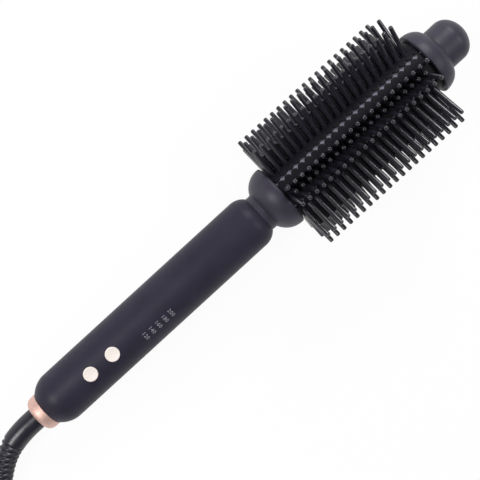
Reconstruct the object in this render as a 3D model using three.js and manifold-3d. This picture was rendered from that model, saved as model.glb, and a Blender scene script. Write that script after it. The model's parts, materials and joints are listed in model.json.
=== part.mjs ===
// Heated round styling brush with a swivel lead, lying on its bristles and its handle.
// Sizes are in millimetres. In the brush's own frame x runs from the lead to the cool tip,
// and z points to the buttons. Stations along x are counted from the ring's lower end.

import * as THREE from 'three';
import { mergeVertices } from 'three/addons/utils/BufferGeometryUtils.js';
import Module from 'manifold-3d';

const wasm = await Module();
wasm.setup();

// Clearances, and the sides that round pieces are cut with
const SEAT = 0.3;
const RUN = 0.3;
const CUT = 1;
const ROUND = 24;
const SMALL_ROUND = 12;
const WINDOW_SIDES = 6;

// Ring and handle
const RING_LENGTH = 7.6;
const RING_RADIUS = 11.8;
const RING_ROUND = 2;
const RING_WALL = 1.6;
const HANDLE_RADIUS = 17;
const HANDLE_END = 185.3;
const HANDLE_WALL = 2.4;
const SHOULDER_LENGTH = 9.1;
const SHOULDER_ROUND = 12;
const TAIL_WALL = 6.1;
const TAIL_CAVITY_WALL = 5;
const END_WALL = 12.3;

// Swivel and strain relief
const BOOT_RADIUS = 7.25;
const BOOT_END_RADIUS = 5.6;
const BOOT_START = 5.5;
const BOOT_SMOOTH = 24;
const BOOT_LENGTH = 60;
const BOOT_RIM = 2;
const BOOT_SIDES = 8;
const SMOOTH_STEPS = 5;
const RIB_PITCH = 3.4;
const RIB_DEPTH = 0.9;
const ROTOR_SIDES = 16;
const ROTOR_NECK_RADIUS = 6;
const ROTOR_FLANGE_RADIUS = 10;
const ROTOR_FLANGE_WIDTH = 2;
const ROTOR_SHAFT_RADIUS = 4.5;
const ROTOR_SHAFT_LENGTH = 13.5;
const JOURNAL_RADIUS = 3;
const JOURNAL_LENGTH = 3;
const SLIP_RING_WALL = 1.4;
const SLIP_RING_WIDTH = 3;
const SLIP_RING_OFFSETS = [3.2, 8.7];
const SPRING_THICKNESS = 0.4;
const SPRING_WIDTH = 2.4;
const SPRING_BENDS = [-7, -3.4, -1.6, 1.6, 3.4];
const CONTACT_BLOCK_INSET = 1.9;
const CONTACT_BLOCK_HALF_WIDTH = 8;
const CONTACT_BLOCK_TOP = -9.5;
const BEARING_WALL = 1.6;

// Buttons and switches
const BUTTON_RADIUS = 4.6;
const BUTTON_SIDES = 20;
const POWER_BUTTON_STATION = 44.9;
const BUTTON_SPACING = 17.8;
const BUTTON_PROUD = 0.7;
const BUTTON_EDGE = 0.5;
const BUTTON_TRAVEL = 0.5;
const BUTTON_FLANGE_OVERLAP = 1.2;
const BUTTON_FLANGE_THICKNESS = 1;
const BUTTON_STEM_RADIUS = 2;
const SWITCH_WIDTH = 6;
const SWITCH_HEIGHT = 3.5;
const PLUNGER_RADIUS = 1.65;
const PLUNGER_HEIGHT = 1.5;
const PLUNGER_DEPTH = 1.2;

// Control board, its posts and the parts on it
const BOARD_START = 36.5;
const BOARD_LENGTH = 113.5;
const BOARD_HALF_WIDTH = 11;
const BOARD_THICKNESS = 1.6;
const BOARD_TOP = 5.6;
const POST_OFFSETS = [13.5, 63.5, 106.5];
const POST_ACROSS = 9.8;
const POST_LENGTH = 4;
const POST_WIDTH = 1.8;
const CHIP_SIZE = new THREE.Vector3(10, 8, 1.4);
const CHIP_OFFSET = 92.5;
const CAPACITOR_SIZE = new THREE.Vector3(18, 8, 10.7);
const CAPACITOR_OFFSET = 56.5;
const TRIAC_SIZE = new THREE.Vector3(15, 10, 4.7);
const TRIAC_OFFSET = 89;

// Indicator windows, counted from the second button
const WINDOW_FIRST_OFFSET = 22.1;
const WINDOW_PITCH = 5.2;
const WINDOW_COUNT = 5;
const WINDOW_RADIUS = 0.8;
const LAMP_SIZE = new THREE.Vector3(2, 1.6, 1);
const LIGHT_BAR_MARGIN = 2;
const LIGHT_BAR_WIDTH = 5;
const LIGHT_BAR_HEIGHT = 2.4;

// Screws through the handle: one from the second button, one from the handle's end
const FRONT_SCREW_OFFSET = 12.1;
const REAR_SCREW_OFFSET = 25.3;
const SCREW_RADIUS = 1.5;
const SCREW_HEAD_RADIUS = 3;
const SCREW_HEAD_HEIGHT = 2;
const SCREW_SEAT = -8;
const SCREW_TIP = 8;
const BOSS_WALL = 1.6;

// Neck, collar and the holder inside them
const NECK_RADIUS = 12.6;
const COLLAR_RADIUS = 21.7;
const COLLAR_RISE = 17;
const COLLAR_ARC = 15.8;
const COLLAR_RIM = 2;
const COLLAR_EDGE = 1.6;
const COLLAR_EDGE_ANGLE = 30;
const SPIGOT_RADIUS = 10.9;
const SPIGOT_FLANGE_RADIUS = 13;
const SPIGOT_FLANGE_WIDTH = 3;
const SPIGOT_WALL = 2.4;
const HOLDER_INSET = 2.3;
const HOLDER_SLEEVE = 13.2;
const HOLDER_FLANGE_WIDTH = 2.4;
const WIRE_PASSAGE_RADIUS = 5.5;
const COLLAR_BORE_DEPTH = 11.5;

// Barrel and heater
const BARREL_SIDES = 30;
const BARREL_RADIUS = 17.3;
const BARREL_WALL = 1.5;
const HEATER_OFFSET = 7.3;
const HEATER_LENGTH = 89.7;
const HEATER_STEPS = 12;
const CERAMIC_LENGTH = 80;
const CERAMIC_WIDTH = 16;
const CERAMIC_THICKNESS = 3;
const SENSOR_RADIUS = 1.4;
const SENSOR_LENGTH = 7;
const FUSE_RADIUS = 2;
const FUSE_LENGTH = 13;
const POCKET_OFFSET = 7;

// Bristle combs
const COMB_LENGTH = 118.4;
const COMB_COUNT = 3;
const STRIPS_PER_COMB = 2;
const COMB_CLEARANCE = 0.5;
const COMB_THICKNESS = 0.95;
const ROW_ANGLE = 8.8;
const PIN_PITCH = 5.42;
const PIN_FIRST_OFFSET = 2.9;
const PIN_END_BAND = 6.5;
const PIN_SIDES = 3;
const PIN_BASE_RADIUS = 1.5;
const PIN_TIP_RADIUS = 1.15;
const PIN_ROOT_DEPTH = 0.5;
const LONG_PIN_REACH = 43.5;
const SHORT_PIN_REACH = 32.5;
const SEAM_GAP = 0.4;
const STAR_LENGTH = 2.4;
const STAR_WIDTH = 5.2;
const STAR_DEPTH = 4;

// Cool tip and what holds it
const FLANGE_RADIUS = 21.5;
const FLANGE_WIDTH = 4.8;
const FLANGE_ROUND = 6.3;
const FLANGE_FOOT = 1;
const TIP_RADIUS = 14.2;
const TIP_STRAIGHT_END = 22.3;
const TIP_ROUND_LENGTH = 10.8;
const TIP_FACE_RADIUS = 5;
const TIP_HOLDER_GAP = 1.5;
const TIP_HOLDER_FLANGE_WIDTH = 1.4;
const TIP_HOLDER_WEB = 3;
const TIP_SCREW_RADIUS = 2;
const TIP_SCREW_HEAD_RADIUS = 3.5;
const TIP_SCREW_REACH = 11.3;

// Wires inside
const WIRE_RADIUS = 0.9;
const WIRE_SIDES = 5;
const TERMINAL_INSET = 4;
const HEATER_WIRE_SPREAD = 5;
const BOSS_WIRE_SPREAD = 6.5;
const PASSAGE_WIRE_SPREAD = 3;
const SUPPLY_WIRE_STEP = 3;
const SUPPLY_WIRE_START_SIDE = 6.2;
const SUPPLY_WIRE_BEND = new THREE.Vector3(4, 7.9, 1);
const SUPPLY_WIRE_BEND_STEP = 2.2;
const SUPPLY_WIRE_EDGE = new THREE.Vector3(0.5, 9.3, -4);
const SUPPLY_WIRE_TURN = new THREE.Vector3(5.5, 8, 1);
const SUPPLY_WIRE_END = new THREE.Vector3(13.5, 6, 0);
const SENSOR_WIRE_START = 1;
const SENSOR_WIRE_RISE = new THREE.Vector3(1, 2.2, 1.5);
const SENSOR_WIRE_CREST = new THREE.Vector3(5.5, 5.4, 5.1);
const SENSOR_WIRE_PAST_BOSS = new THREE.Vector3(2, 5.8, 6.1);
const SENSOR_WIRE_FALL = new THREE.Vector3(5, 3, 5.5);
const SENSOR_WIRE_DROP = 1.2;

// Lead
const CORD_DIAMETER = 7;
const CORD_SIDES = 8;
const CORD_STEPS = 10;
const CORD_SAMPLES = 8;
const HANK_SIDES = 6;
const HANK_STEPS = 20;
const HANK_RUN = 112;
const HANK_INNER_RADIUS = 21;
const HANK_PITCH = 8.1;
const HANK_LAYER = 7.6;
const HANK_DRAW_IN = 12;
const HANK_TURNS_IN = 2.5;
const HANK_TURNS_OUT = 2;
const HANK_LIFT = 1.4;
const HANK_CENTRE = new THREE.Vector2(-160.5, 1);
const RUN_SHARE = 0.28;
const TIE_WIDTH = 14;
const TIE_THICKNESS = 1;
const TIE_ROUND = 4;
const TIE_SLACK = 1.4;
const PLUG_LENGTH = 32;
const PLUG_WIDTH = 35;
const PLUG_NECK_WIDTH = 14;
const PLUG_NECK_END = 8;
const PLUG_FLARE = 14.4;
const PLUG_SIDE_START = 24;
const PLUG_THICKNESS = 13.8;
const PLUG_EDGE = 1.2;
const PLUG_PIN_RADIUS = 2;
const PLUG_PIN_LENGTH = 19;
const PLUG_PIN_SPACING = 18.6;

// The lead's route over the floor, from the ring's lower end, with heights above the floor.
const LEAD_ROUTE = [
  [-12, -0.2, 13], [-22, -1.8, 11.5], [-32, -6, 10], [-43.4, -14.6, 8.2], [-52.5, -24.6, 6.4],
  [-62.5, -33.8, 5.1], [-75, -39.6, 4.9], [-90, -41.1, 4.9],
];
const TAIL_ROUTE = [
  [-146, 30.6, 12.5], [-137, 38.6, 10.6], [-126, 45, 8.1],
  [-112, 49.6, 7.1], [-105, 50, 7.1], [-100, 50, 7.1],
];

// Colours
const SOFT_BLACK = { color: 0x36343c, roughness: 0.62, metalness: 0 };
const NYLON_BLACK = { color: 0x17161a, roughness: 0.3, metalness: 0 };
const ROSE_GOLD = { color: 0xcfa497, roughness: 0.28, metalness: 0.9 };
const PALE_ROSE = { color: 0xead9cd, roughness: 0.38, metalness: 0.4 };
const GREY_METAL = { color: 0x9a97a2, roughness: 0.45, metalness: 0.7 };
const BRASS = { color: 0xc7a45c, roughness: 0.3, metalness: 0.9 };
const STEEL = { color: 0xb8bac0, roughness: 0.3, metalness: 0.9 };
const BOARD_GREEN = { color: 0x1f5a3c, roughness: 0.5, metalness: 0 };
const PALE_PLASTIC = { color: 0xe6e2d8, roughness: 0.5, metalness: 0 };
const CLEAR_PLASTIC = { color: 0xdfe6ea, roughness: 0.15, metalness: 0 };
const CERAMIC_WHITE = { color: 0xf1efe8, roughness: 0.6, metalness: 0 };
const CORD_BLACK = { color: 0x202024, roughness: 0.5, metalness: 0 };
const WIRE_RED = { color: 0x9c2b26, roughness: 0.5, metalness: 0 };
const WIRE_WHITE = { color: 0xe8e6e0, roughness: 0.5, metalness: 0 };

const radians = THREE.MathUtils.degToRad;
const degrees = THREE.MathUtils.radToDeg;
const brush = new THREE.Group();
const lead = new THREE.Group();

// Turns a closed geometry into a solid that can be cut and joined.
function solid(geometry) {
  const bare = geometry.clone();
  bare.deleteAttribute('normal');
  bare.deleteAttribute('uv');
  const merged = mergeVertices(bare, 1e-5);
  const corners = [];
  for (let i = 0; i < merged.index.count; i += 3) {
    const [a, b, c] = [merged.index.getX(i), merged.index.getX(i + 1), merged.index.getX(i + 2)];
    if (a !== b && b !== c && c !== a) corners.push(a, b, c);
  }
  return new wasm.Manifold(new wasm.Mesh({
    numProp: 3,
    vertProperties: new Float32Array(merged.attributes.position.array),
    triVerts: new Uint32Array(corners),
  }));
}

// Gives a cut solid back as a geometry.
function geometryOf(body) {
  const mesh = body.getMesh();
  const geometry = new THREE.BufferGeometry();
  geometry.setAttribute('position', new THREE.BufferAttribute(new Float32Array(mesh.vertProperties), 3));
  geometry.setIndex(new THREE.BufferAttribute(new Uint32Array(mesh.triVerts), 1));
  return geometry;
}

// Adds a named piece to a group.
function addPiece(group, name, shape, look) {
  const geometry = shape.isBufferGeometry ? shape : geometryOf(shape);
  const flat = geometry.index ? geometry.toNonIndexed() : geometry;
  flat.computeVertexNormals();
  const mesh = new THREE.Mesh(flat, new THREE.MeshStandardMaterial(look));
  mesh.name = name;
  group.add(mesh);
  return mesh;
}

// Spins a profile of [station, radius] points about the brush's axis.
function spun(profile, sides = ROUND) {
  const points = profile.map(([station, radius]) => new THREE.Vector2(radius, station));
  return new THREE.LatheGeometry(points, sides).rotateZ(-Math.PI / 2);
}

// Spins a profile of [height, radius] points about a line that stands on the axis at a station.
function stood(profile, station, sides = SMALL_ROUND) {
  return spun(profile, sides).rotateY(-Math.PI / 2).translate(station, 0, 0);
}

// Points of an arc, as [station, radius], from one angle to another. Zero degrees is its widest point.
function arc(station, radius, alongRound, acrossRound, from, to, steps) {
  return Array.from({ length: steps + 1 }, (_, i) => {
    const angle = radians(from + (to - from) * i / steps);
    return [station + alongRound * Math.sin(angle), radius + acrossRound * Math.cos(angle)];
  });
}

// A round bar along the axis.
function bar(radius, start, end, sides = ROUND) {
  return spun([[start, 0], [start, radius], [end, radius], [end, 0]], sides);
}

// A round tube along the axis.
function sleeve(inner, outer, start, end, sides = ROUND) {
  return spun([[start, inner], [start, outer], [end, outer], [end, inner], [start, inner]], sides);
}

// A round post that stands along z.
function post(radius, station, bottom, top, sides = SMALL_ROUND) {
  return new THREE.CylinderGeometry(radius, radius, top - bottom, sides)
    .rotateX(Math.PI / 2)
    .translate(station, 0, (bottom + top) / 2);
}

// A block given by its lowest and highest corners.
function block(low, high) {
  const size = high.map((value, i) => value - low[i]);
  const middle = high.map((value, i) => (value + low[i]) / 2);
  return new THREE.BoxGeometry(...size).translate(...middle);
}

// A block centred across the axis at a station, standing on a height.
function centredBlock(station, size, bottom) {
  return block([station - size.x / 2, -size.y / 2, bottom],
    [station + size.x / 2, size.y / 2, bottom + size.z]);
}

// Turns a shape that is extruded along z so that it runs along x, with its outline in y and z.
const ALONG_X = new THREE.Matrix4().makeBasis(
  new THREE.Vector3(0, 1, 0), new THREE.Vector3(0, 0, 1), new THREE.Vector3(1, 0, 0));

// Extrudes an outline of [y, z] points along the axis.
function drawn(outline, start, end) {
  const shape = new THREE.Shape(outline.map(([y, z]) => new THREE.Vector2(y, z)));
  return new THREE.ExtrudeGeometry(shape, { depth: end - start, bevelEnabled: false })
    .applyMatrix4(ALONG_X)
    .translate(start, 0, 0);
}

// Joins several geometries to a solid.
function joined(first, others) {
  return others.reduce((body, other) => body.add(solid(other)), first);
}

// Cuts several geometries from a solid.
function cut(first, others) {
  return others.reduce((body, other) => body.subtract(solid(other)), first);
}

// A round wire or cord along a smooth curve through the points.
function wire(points, radius, sides, steps) {
  const stops = points.map((point) => new THREE.Vector3(...point));
  const curve = new THREE.CatmullRomCurve3(stops, false, 'centripetal');
  const section = new THREE.Shape(Array.from({ length: sides }, (_, i) => {
    const angle = 2 * Math.PI * i / sides;
    return new THREE.Vector2(radius * Math.cos(angle), radius * Math.sin(angle));
  }));
  return new THREE.ExtrudeGeometry(section, { steps, extrudePath: curve, bevelEnabled: false });
}

// One unbroken closed tube with a ring of points at each centre, of that centre's radius.
function ringedTube(centres, radii, sides) {
  const corners = [];
  const faces = [];
  let side = new THREE.Vector3(0, 0, 1);
  centres.forEach((centre, i) => {
    const before = centres[Math.max(i - 1, 0)];
    const after = centres[Math.min(i + 1, centres.length - 1)];
    const heading = after.clone().sub(before).normalize();
    side = side.clone().addScaledVector(heading, -side.dot(heading)).normalize();
    const across = heading.clone().cross(side);
    for (let k = 0; k < sides; k += 1) {
      const angle = 2 * Math.PI * k / sides;
      corners.push(centre.clone()
        .addScaledVector(side, radii[i] * Math.cos(angle))
        .addScaledVector(across, radii[i] * Math.sin(angle)));
    }
  });
  for (let i = 0; i + 1 < centres.length; i += 1) {
    for (let k = 0; k < sides; k += 1) {
      const [a, b] = [i * sides + k, i * sides + (k + 1) % sides];
      faces.push(a, b, b + sides, a, b + sides, a + sides);
    }
  }
  const last = (centres.length - 1) * sides;
  for (let k = 1; k + 1 < sides; k += 1) {
    faces.push(0, k + 1, k, last, last + k, last + k + 1);
  }
  const geometry = new THREE.BufferGeometry().setFromPoints(corners);
  geometry.setIndex(faces);
  return geometry;
}

// Stations and radii that follow from the sizes above
const handleStart = RING_LENGTH + SEAT;
const domeCentre = handleStart + Math.sqrt(HANDLE_RADIUS ** 2 - RING_RADIUS ** 2);
const shoulderStart = HANDLE_END - SHOULDER_LENGTH;
const tailWallEnd = handleStart + TAIL_WALL;
const cavityRadius = HANDLE_RADIUS - HANDLE_WALL;
const tailCavityRadius = HANDLE_RADIUS - TAIL_CAVITY_WALL;
const cavityEnd = HANDLE_END - END_WALL;
const tailSpigotRadius = RING_RADIUS - RING_WALL - SEAT;
const rotorBore = ROTOR_NECK_RADIUS + RUN;
const bootBore = BOOT_RADIUS + RUN;
const endBore = SPIGOT_RADIUS + SEAT;
const buttonStations = { power: POWER_BUTTON_STATION, heat: POWER_BUTTON_STATION + BUTTON_SPACING };
const buttonTop = HANDLE_RADIUS + BUTTON_PROUD;
const windowFirst = buttonStations.heat + WINDOW_FIRST_OFFSET;
const windows = Array.from({ length: WINDOW_COUNT }, (_, i) => windowFirst + WINDOW_PITCH * i);
const screwStations = [buttonStations.heat + FRONT_SCREW_OFFSET, HANDLE_END - REAR_SCREW_OFFSET];
const boardEnd = BOARD_START + BOARD_LENGTH;
const boardBottom = BOARD_TOP - BOARD_THICKNESS;
const onBoard = BOARD_TOP + SEAT;
const pilotRadius = SCREW_RADIUS + SEAT;
const screwBossRadius = pilotRadius + BOSS_WALL;
const headBossRadius = SCREW_HEAD_RADIUS + SEAT + BOSS_WALL;

// Height of the cavity's wall at a distance across from its middle
function wallHeight(across) {
  return Math.sqrt(cavityRadius ** 2 - across ** 2);
}

// The handle's outside, as one solid of revolution with a spigot for the ring.
function handleOutside() {
  const domeAngle = degrees(Math.asin((handleStart - domeCentre) / HANDLE_RADIUS));
  const shoulderAngle = degrees(Math.asin(SHOULDER_LENGTH / SHOULDER_ROUND));
  const dome = arc(domeCentre, 0, HANDLE_RADIUS, HANDLE_RADIUS, domeAngle, 0, 5);
  const shoulder = arc(shoulderStart, HANDLE_RADIUS - SHOULDER_ROUND, SHOULDER_ROUND, SHOULDER_ROUND,
    0, shoulderAngle, 4);
  const start = RING_WALL + SEAT;
  return spun([[start, 0], [start, tailSpigotRadius], [handleStart, tailSpigotRadius],
    ...dome, ...shoulder, [HANDLE_END, 0]]);
}

// The space inside the handle: swivel bore, cavity and the bore round the collar's spigot.
function handleInside() {
  const bootEnd = BOOT_START + SEAT / 2;
  return spun([[-CUT, 0], [-CUT, bootBore], [bootEnd, bootBore], [bootEnd, rotorBore],
    [tailWallEnd, rotorBore], [tailWallEnd, tailCavityRadius], [domeCentre, cavityRadius],
    [cavityEnd, cavityRadius], [cavityEnd, endBore], [HANDLE_END + CUT, endBore],
    [HANDLE_END + CUT, 0]]);
}

// Half of the handle, above or below the split.
function handleHalf(side) {
  const far = HANDLE_RADIUS + CUT;
  const near = SEAT / 2;
  const heights = side > 0 ? [near, far] : [-far, -near];
  const half = block([-CUT, -far, heights[0]], [HANDLE_END + CUT, far, heights[1]]);
  return solid(handleOutside()).subtract(solid(handleInside())).intersect(solid(half));
}

// Pairs of square posts that hold the board, from one height to another
function boardPosts(bottom, top) {
  return POST_OFFSETS.flatMap((offset) => [-1, 1].map((side) => {
    const station = BOARD_START + offset;
    const across = side * POST_ACROSS;
    return block([station - POST_LENGTH / 2, across - POST_WIDTH / 2, bottom],
      [station + POST_LENGTH / 2, across + POST_WIDTH / 2, top]);
  }));
}

function handleTopShell() {
  const inWall = cavityRadius + HANDLE_WALL / 2;
  const above = buttonTop + CUT;
  const bosses = screwStations.map((station) => post(screwBossRadius, station, SEAT / 2, inWall));
  const holdDowns = boardPosts(onBoard, wallHeight(POST_ACROSS) + CUT);
  const buttonHoles = Object.values(buttonStations).map((station) => (
    post(BUTTON_RADIUS + RUN, station, buttonTop / 2, above, BUTTON_SIDES)));
  const windowHoles = windows.map((station) => (
    post(WINDOW_RADIUS + SEAT, station, buttonTop / 2, above, WINDOW_SIDES)));
  const pilots = screwStations.map((station) => post(pilotRadius, station, -CUT, SCREW_TIP + CUT));
  return cut(joined(handleHalf(1), [...bosses, ...holdDowns]), [...buttonHoles, ...windowHoles, ...pilots]);
}

function handleBottomShell() {
  const inWall = -cavityRadius - HANDLE_WALL / 2;
  const below = -HANDLE_RADIUS - CUT;
  const bosses = screwStations.map((station) => post(headBossRadius, station, inWall, -SEAT / 2));
  const posts = boardPosts(-wallHeight(POST_ACROSS) - CUT, boardBottom - SEAT);
  const holes = screwStations.flatMap((station) => [
    post(pilotRadius, station, below, CUT),
    post(SCREW_HEAD_RADIUS + SEAT, station, below, SCREW_SEAT),
  ]);
  return cut(joined(handleHalf(-1), [...bosses, ...posts]), holes);
}

// Ring that closes the handle's tail, with a rounded lower edge.
function endRing() {
  const inner = RING_RADIUS - RING_WALL;
  return spun([[0, bootBore],
    ...arc(RING_ROUND, RING_RADIUS - RING_ROUND, RING_ROUND, RING_ROUND, -90, 0, 4),
    [RING_LENGTH, RING_RADIUS], [RING_LENGTH, inner], [RING_WALL, inner], [RING_WALL, bootBore],
    [0, bootBore]]);
}

const rotorStart = BOOT_START + SEAT;
const flangeStart = tailWallEnd + RUN;
const shaftStart = flangeStart + ROTOR_FLANGE_WIDTH;
const shaftEnd = shaftStart + ROTOR_SHAFT_LENGTH;
const journalEnd = shaftEnd + JOURNAL_LENGTH;
const slipRingStations = SLIP_RING_OFFSETS.map((offset) => shaftStart + offset);
const slipRingBore = ROTOR_SHAFT_RADIUS + SEAT;
const slipRingRadius = slipRingBore + SLIP_RING_WALL;

// Rotor that turns in the tail's bore: neck, flange that keeps it in, shaft and end journal.
function swivelRotor() {
  return spun([[rotorStart, 0], [rotorStart, ROTOR_NECK_RADIUS], [flangeStart, ROTOR_NECK_RADIUS],
    [flangeStart, ROTOR_FLANGE_RADIUS], [shaftStart, ROTOR_FLANGE_RADIUS],
    [shaftStart, ROTOR_SHAFT_RADIUS], [shaftEnd, ROTOR_SHAFT_RADIUS], [shaftEnd, JOURNAL_RADIUS],
    [journalEnd, JOURNAL_RADIUS], [journalEnd, 0]], ROTOR_SIDES);
}

function slipRing(station) {
  return sleeve(slipRingBore, slipRingRadius, station, station + SLIP_RING_WIDTH, ROTOR_SIDES);
}

// Plastic block in the tail that carries the contact springs and the rotor's end journal.
function contactBlock() {
  const start = shaftStart + CONTACT_BLOCK_INSET;
  const room = THREE.MathUtils.mapLinear(start, tailWallEnd, domeCentre, tailCavityRadius, cavityRadius);
  const bottom = -Math.sqrt(room ** 2 - CONTACT_BLOCK_HALF_WIDTH ** 2) + SEAT;
  const plateStart = shaftEnd + SEAT;
  const plateHalfWidth = CONTACT_BLOCK_HALF_WIDTH / 2;
  const journalBore = JOURNAL_RADIUS + RUN;
  const base = block([start, -CONTACT_BLOCK_HALF_WIDTH, bottom],
    [journalEnd, CONTACT_BLOCK_HALF_WIDTH, CONTACT_BLOCK_TOP]);
  const plate = block([plateStart, -plateHalfWidth, bottom],
    [journalEnd, plateHalfWidth, journalBore + BEARING_WALL]);
  return cut(joined(solid(base), [plate]),
    [bar(journalBore, plateStart - CUT, journalEnd + CUT, ROTOR_SIDES)]);
}

// Bent strip that presses up on a slip ring from below.
function contactSpring(station) {
  const pad = -slipRingRadius - RUN;
  const foot = CONTACT_BLOCK_TOP + SEAT + SPRING_THICKNESS;
  const heights = [foot, foot, pad, pad, (foot + pad) / 2];
  const top = SPRING_BENDS.map((across, i) => [across, heights[i]]);
  const under = top.map(([across, height]) => [across, height - SPRING_THICKNESS]);
  const middle = station + SLIP_RING_WIDTH / 2;
  return drawn([...under, ...top.reverse()], middle - SPRING_WIDTH / 2, middle + SPRING_WIDTH / 2);
}

function controlBoard() {
  const board = block([BOARD_START, -BOARD_HALF_WIDTH, boardBottom], [boardEnd, BOARD_HALF_WIDTH, BOARD_TOP]);
  const holes = screwStations.filter((station) => station < boardEnd)
    .map((station) => post(screwBossRadius + SEAT, station, boardBottom - CUT, BOARD_TOP + CUT));
  return cut(solid(board), holes);
}

const switchTop = onBoard + SWITCH_HEIGHT;
const plungerTop = switchTop + PLUNGER_HEIGHT;
const plungerBottom = switchTop - PLUNGER_DEPTH;

function switchBody(station) {
  const size = new THREE.Vector3(SWITCH_WIDTH, SWITCH_WIDTH, SWITCH_HEIGHT);
  const bore = post(PLUNGER_RADIUS + RUN, station, plungerBottom - BUTTON_TRAVEL - RUN, switchTop + CUT);
  return cut(solid(centredBlock(station, size, onBoard)), [bore]);
}

// Button cap with a rounded rim, a flange that keeps it in the shell, and a stem over the switch.
function buttonCap(station) {
  const flangeRadius = BUTTON_RADIUS + BUTTON_FLANGE_OVERLAP;
  const flangeTop = wallHeight(flangeRadius) - SEAT;
  const flangeBottom = flangeTop - BUTTON_FLANGE_THICKNESS;
  const stemEnd = plungerTop + SEAT;
  return stood([[stemEnd, 0], [stemEnd, BUTTON_STEM_RADIUS], [flangeBottom, BUTTON_STEM_RADIUS],
    [flangeBottom, flangeRadius], [flangeTop, flangeRadius], [flangeTop, BUTTON_RADIUS],
    [buttonTop - BUTTON_EDGE, BUTTON_RADIUS], [buttonTop, BUTTON_RADIUS - BUTTON_EDGE], [buttonTop, 0]],
  station, BUTTON_SIDES);
}

// Clear bar with a light pipe up to each window.
function lightBar() {
  const span = WINDOW_PITCH * (WINDOW_COUNT - 1);
  const size = new THREE.Vector3(span + 2 * LIGHT_BAR_MARGIN, LIGHT_BAR_WIDTH, LIGHT_BAR_HEIGHT);
  const bottom = wallHeight(LIGHT_BAR_WIDTH / 2) - SEAT - LIGHT_BAR_HEIGHT;
  const pipes = windows.map((station) => (
    post(WINDOW_RADIUS, station, onBoard + LAMP_SIZE.z + SEAT, HANDLE_RADIUS - SEAT, WINDOW_SIDES)));
  return joined(solid(centredBlock(windowFirst + span / 2, size, bottom)), pipes);
}

function shellScrew(station) {
  const seat = SCREW_SEAT - SEAT;
  const head = seat - SCREW_HEAD_HEIGHT;
  return stood([[head, 0], [head, SCREW_HEAD_RADIUS], [seat, SCREW_HEAD_RADIUS],
    [seat, SCREW_RADIUS], [SCREW_TIP, SCREW_RADIUS], [SCREW_TIP, 0]], station);
}

const spigotFlangeEnd = cavityEnd - SEAT;
const spigotStart = spigotFlangeEnd - SPIGOT_FLANGE_WIDTH;
const holderBore = SPIGOT_RADIUS - SPIGOT_WALL;
const collarWidest = HANDLE_END + COLLAR_RISE;
const collarEnd = collarWidest + COLLAR_RIM;
const holderStart = spigotStart + HOLDER_INSET;
const holderFlangeStart = collarEnd - COLLAR_BORE_DEPTH;
const holderFlangeEnd = holderFlangeStart + HOLDER_FLANGE_WIDTH;
const holderEnd = holderFlangeStart + HOLDER_SLEEVE;

// Collar with its bulb, its neck and the spigot that the handle's halves close round.
function neckCollar() {
  const neckStart = HANDLE_END + SEAT;
  const bulbCentre = COLLAR_RADIUS - COLLAR_ARC;
  const bulbAngle = degrees(Math.acos((NECK_RADIUS - bulbCentre) / COLLAR_ARC));
  const collarBore = BARREL_RADIUS + SEAT;
  const boreStart = holderFlangeStart - SEAT;
  return spun([[spigotStart, holderBore], [spigotStart, SPIGOT_FLANGE_RADIUS],
    [spigotFlangeEnd, SPIGOT_FLANGE_RADIUS], [spigotFlangeEnd, SPIGOT_RADIUS],
    [neckStart, SPIGOT_RADIUS], [neckStart, NECK_RADIUS],
    ...arc(collarWidest, bulbCentre, COLLAR_ARC, COLLAR_ARC, -bulbAngle, 0, 7),
    ...arc(collarEnd - COLLAR_EDGE, COLLAR_RADIUS - COLLAR_EDGE, COLLAR_EDGE, COLLAR_EDGE,
      COLLAR_EDGE_ANGLE, 90, 2),
    [collarEnd, collarBore], [boreStart, collarBore], [boreStart, holderBore], [spigotStart, holderBore]]);
}

const barrelBore = BARREL_RADIUS - BARREL_WALL;
const insideBarrel = barrelBore - SEAT;

// Heat-proof holder between the collar and the barrel, with a passage for the wires.
function barrelHolder() {
  const stem = holderBore - SEAT;
  return spun([[holderStart, WIRE_PASSAGE_RADIUS], [holderStart, stem], [holderFlangeStart, stem],
    [holderFlangeStart, BARREL_RADIUS], [holderFlangeEnd, BARREL_RADIUS], [holderFlangeEnd, insideBarrel],
    [holderEnd, insideBarrel], [holderEnd, WIRE_PASSAGE_RADIUS], [holderStart, WIRE_PASSAGE_RADIUS]]);
}

const heaterStart = holderEnd + HEATER_OFFSET;
const heaterEnd = heaterStart + HEATER_LENGTH;
const ceramicStart = heaterStart + (HEATER_LENGTH - CERAMIC_LENGTH) / 2;

// Half-round block that presses the ceramic heater's warmth on the barrel.
function heaterBlock(side, pocketRadius, pocketDepth) {
  const flat = CERAMIC_THICKNESS / 2 + SEAT;
  const from = Math.asin(flat / insideBarrel);
  const outline = Array.from({ length: HEATER_STEPS + 1 }, (_, i) => {
    const angle = from + (Math.PI - 2 * from) * i / HEATER_STEPS;
    return [insideBarrel * Math.cos(angle), insideBarrel * Math.sin(angle)];
  });
  const pocket = bar(pocketRadius, heaterStart - CUT, heaterStart + pocketDepth, SMALL_ROUND)
    .translate(0, 0, POCKET_OFFSET);
  const body = cut(solid(drawn(outline, heaterStart, heaterEnd)), [pocket]);
  return side > 0 ? geometryOf(body) : geometryOf(body).rotateX(Math.PI);
}

function ceramicHeater() {
  const size = new THREE.Vector3(CERAMIC_LENGTH, CERAMIC_WIDTH, CERAMIC_THICKNESS);
  return centredBlock(ceramicStart + CERAMIC_LENGTH / 2, size, -CERAMIC_THICKNESS / 2);
}

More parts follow.
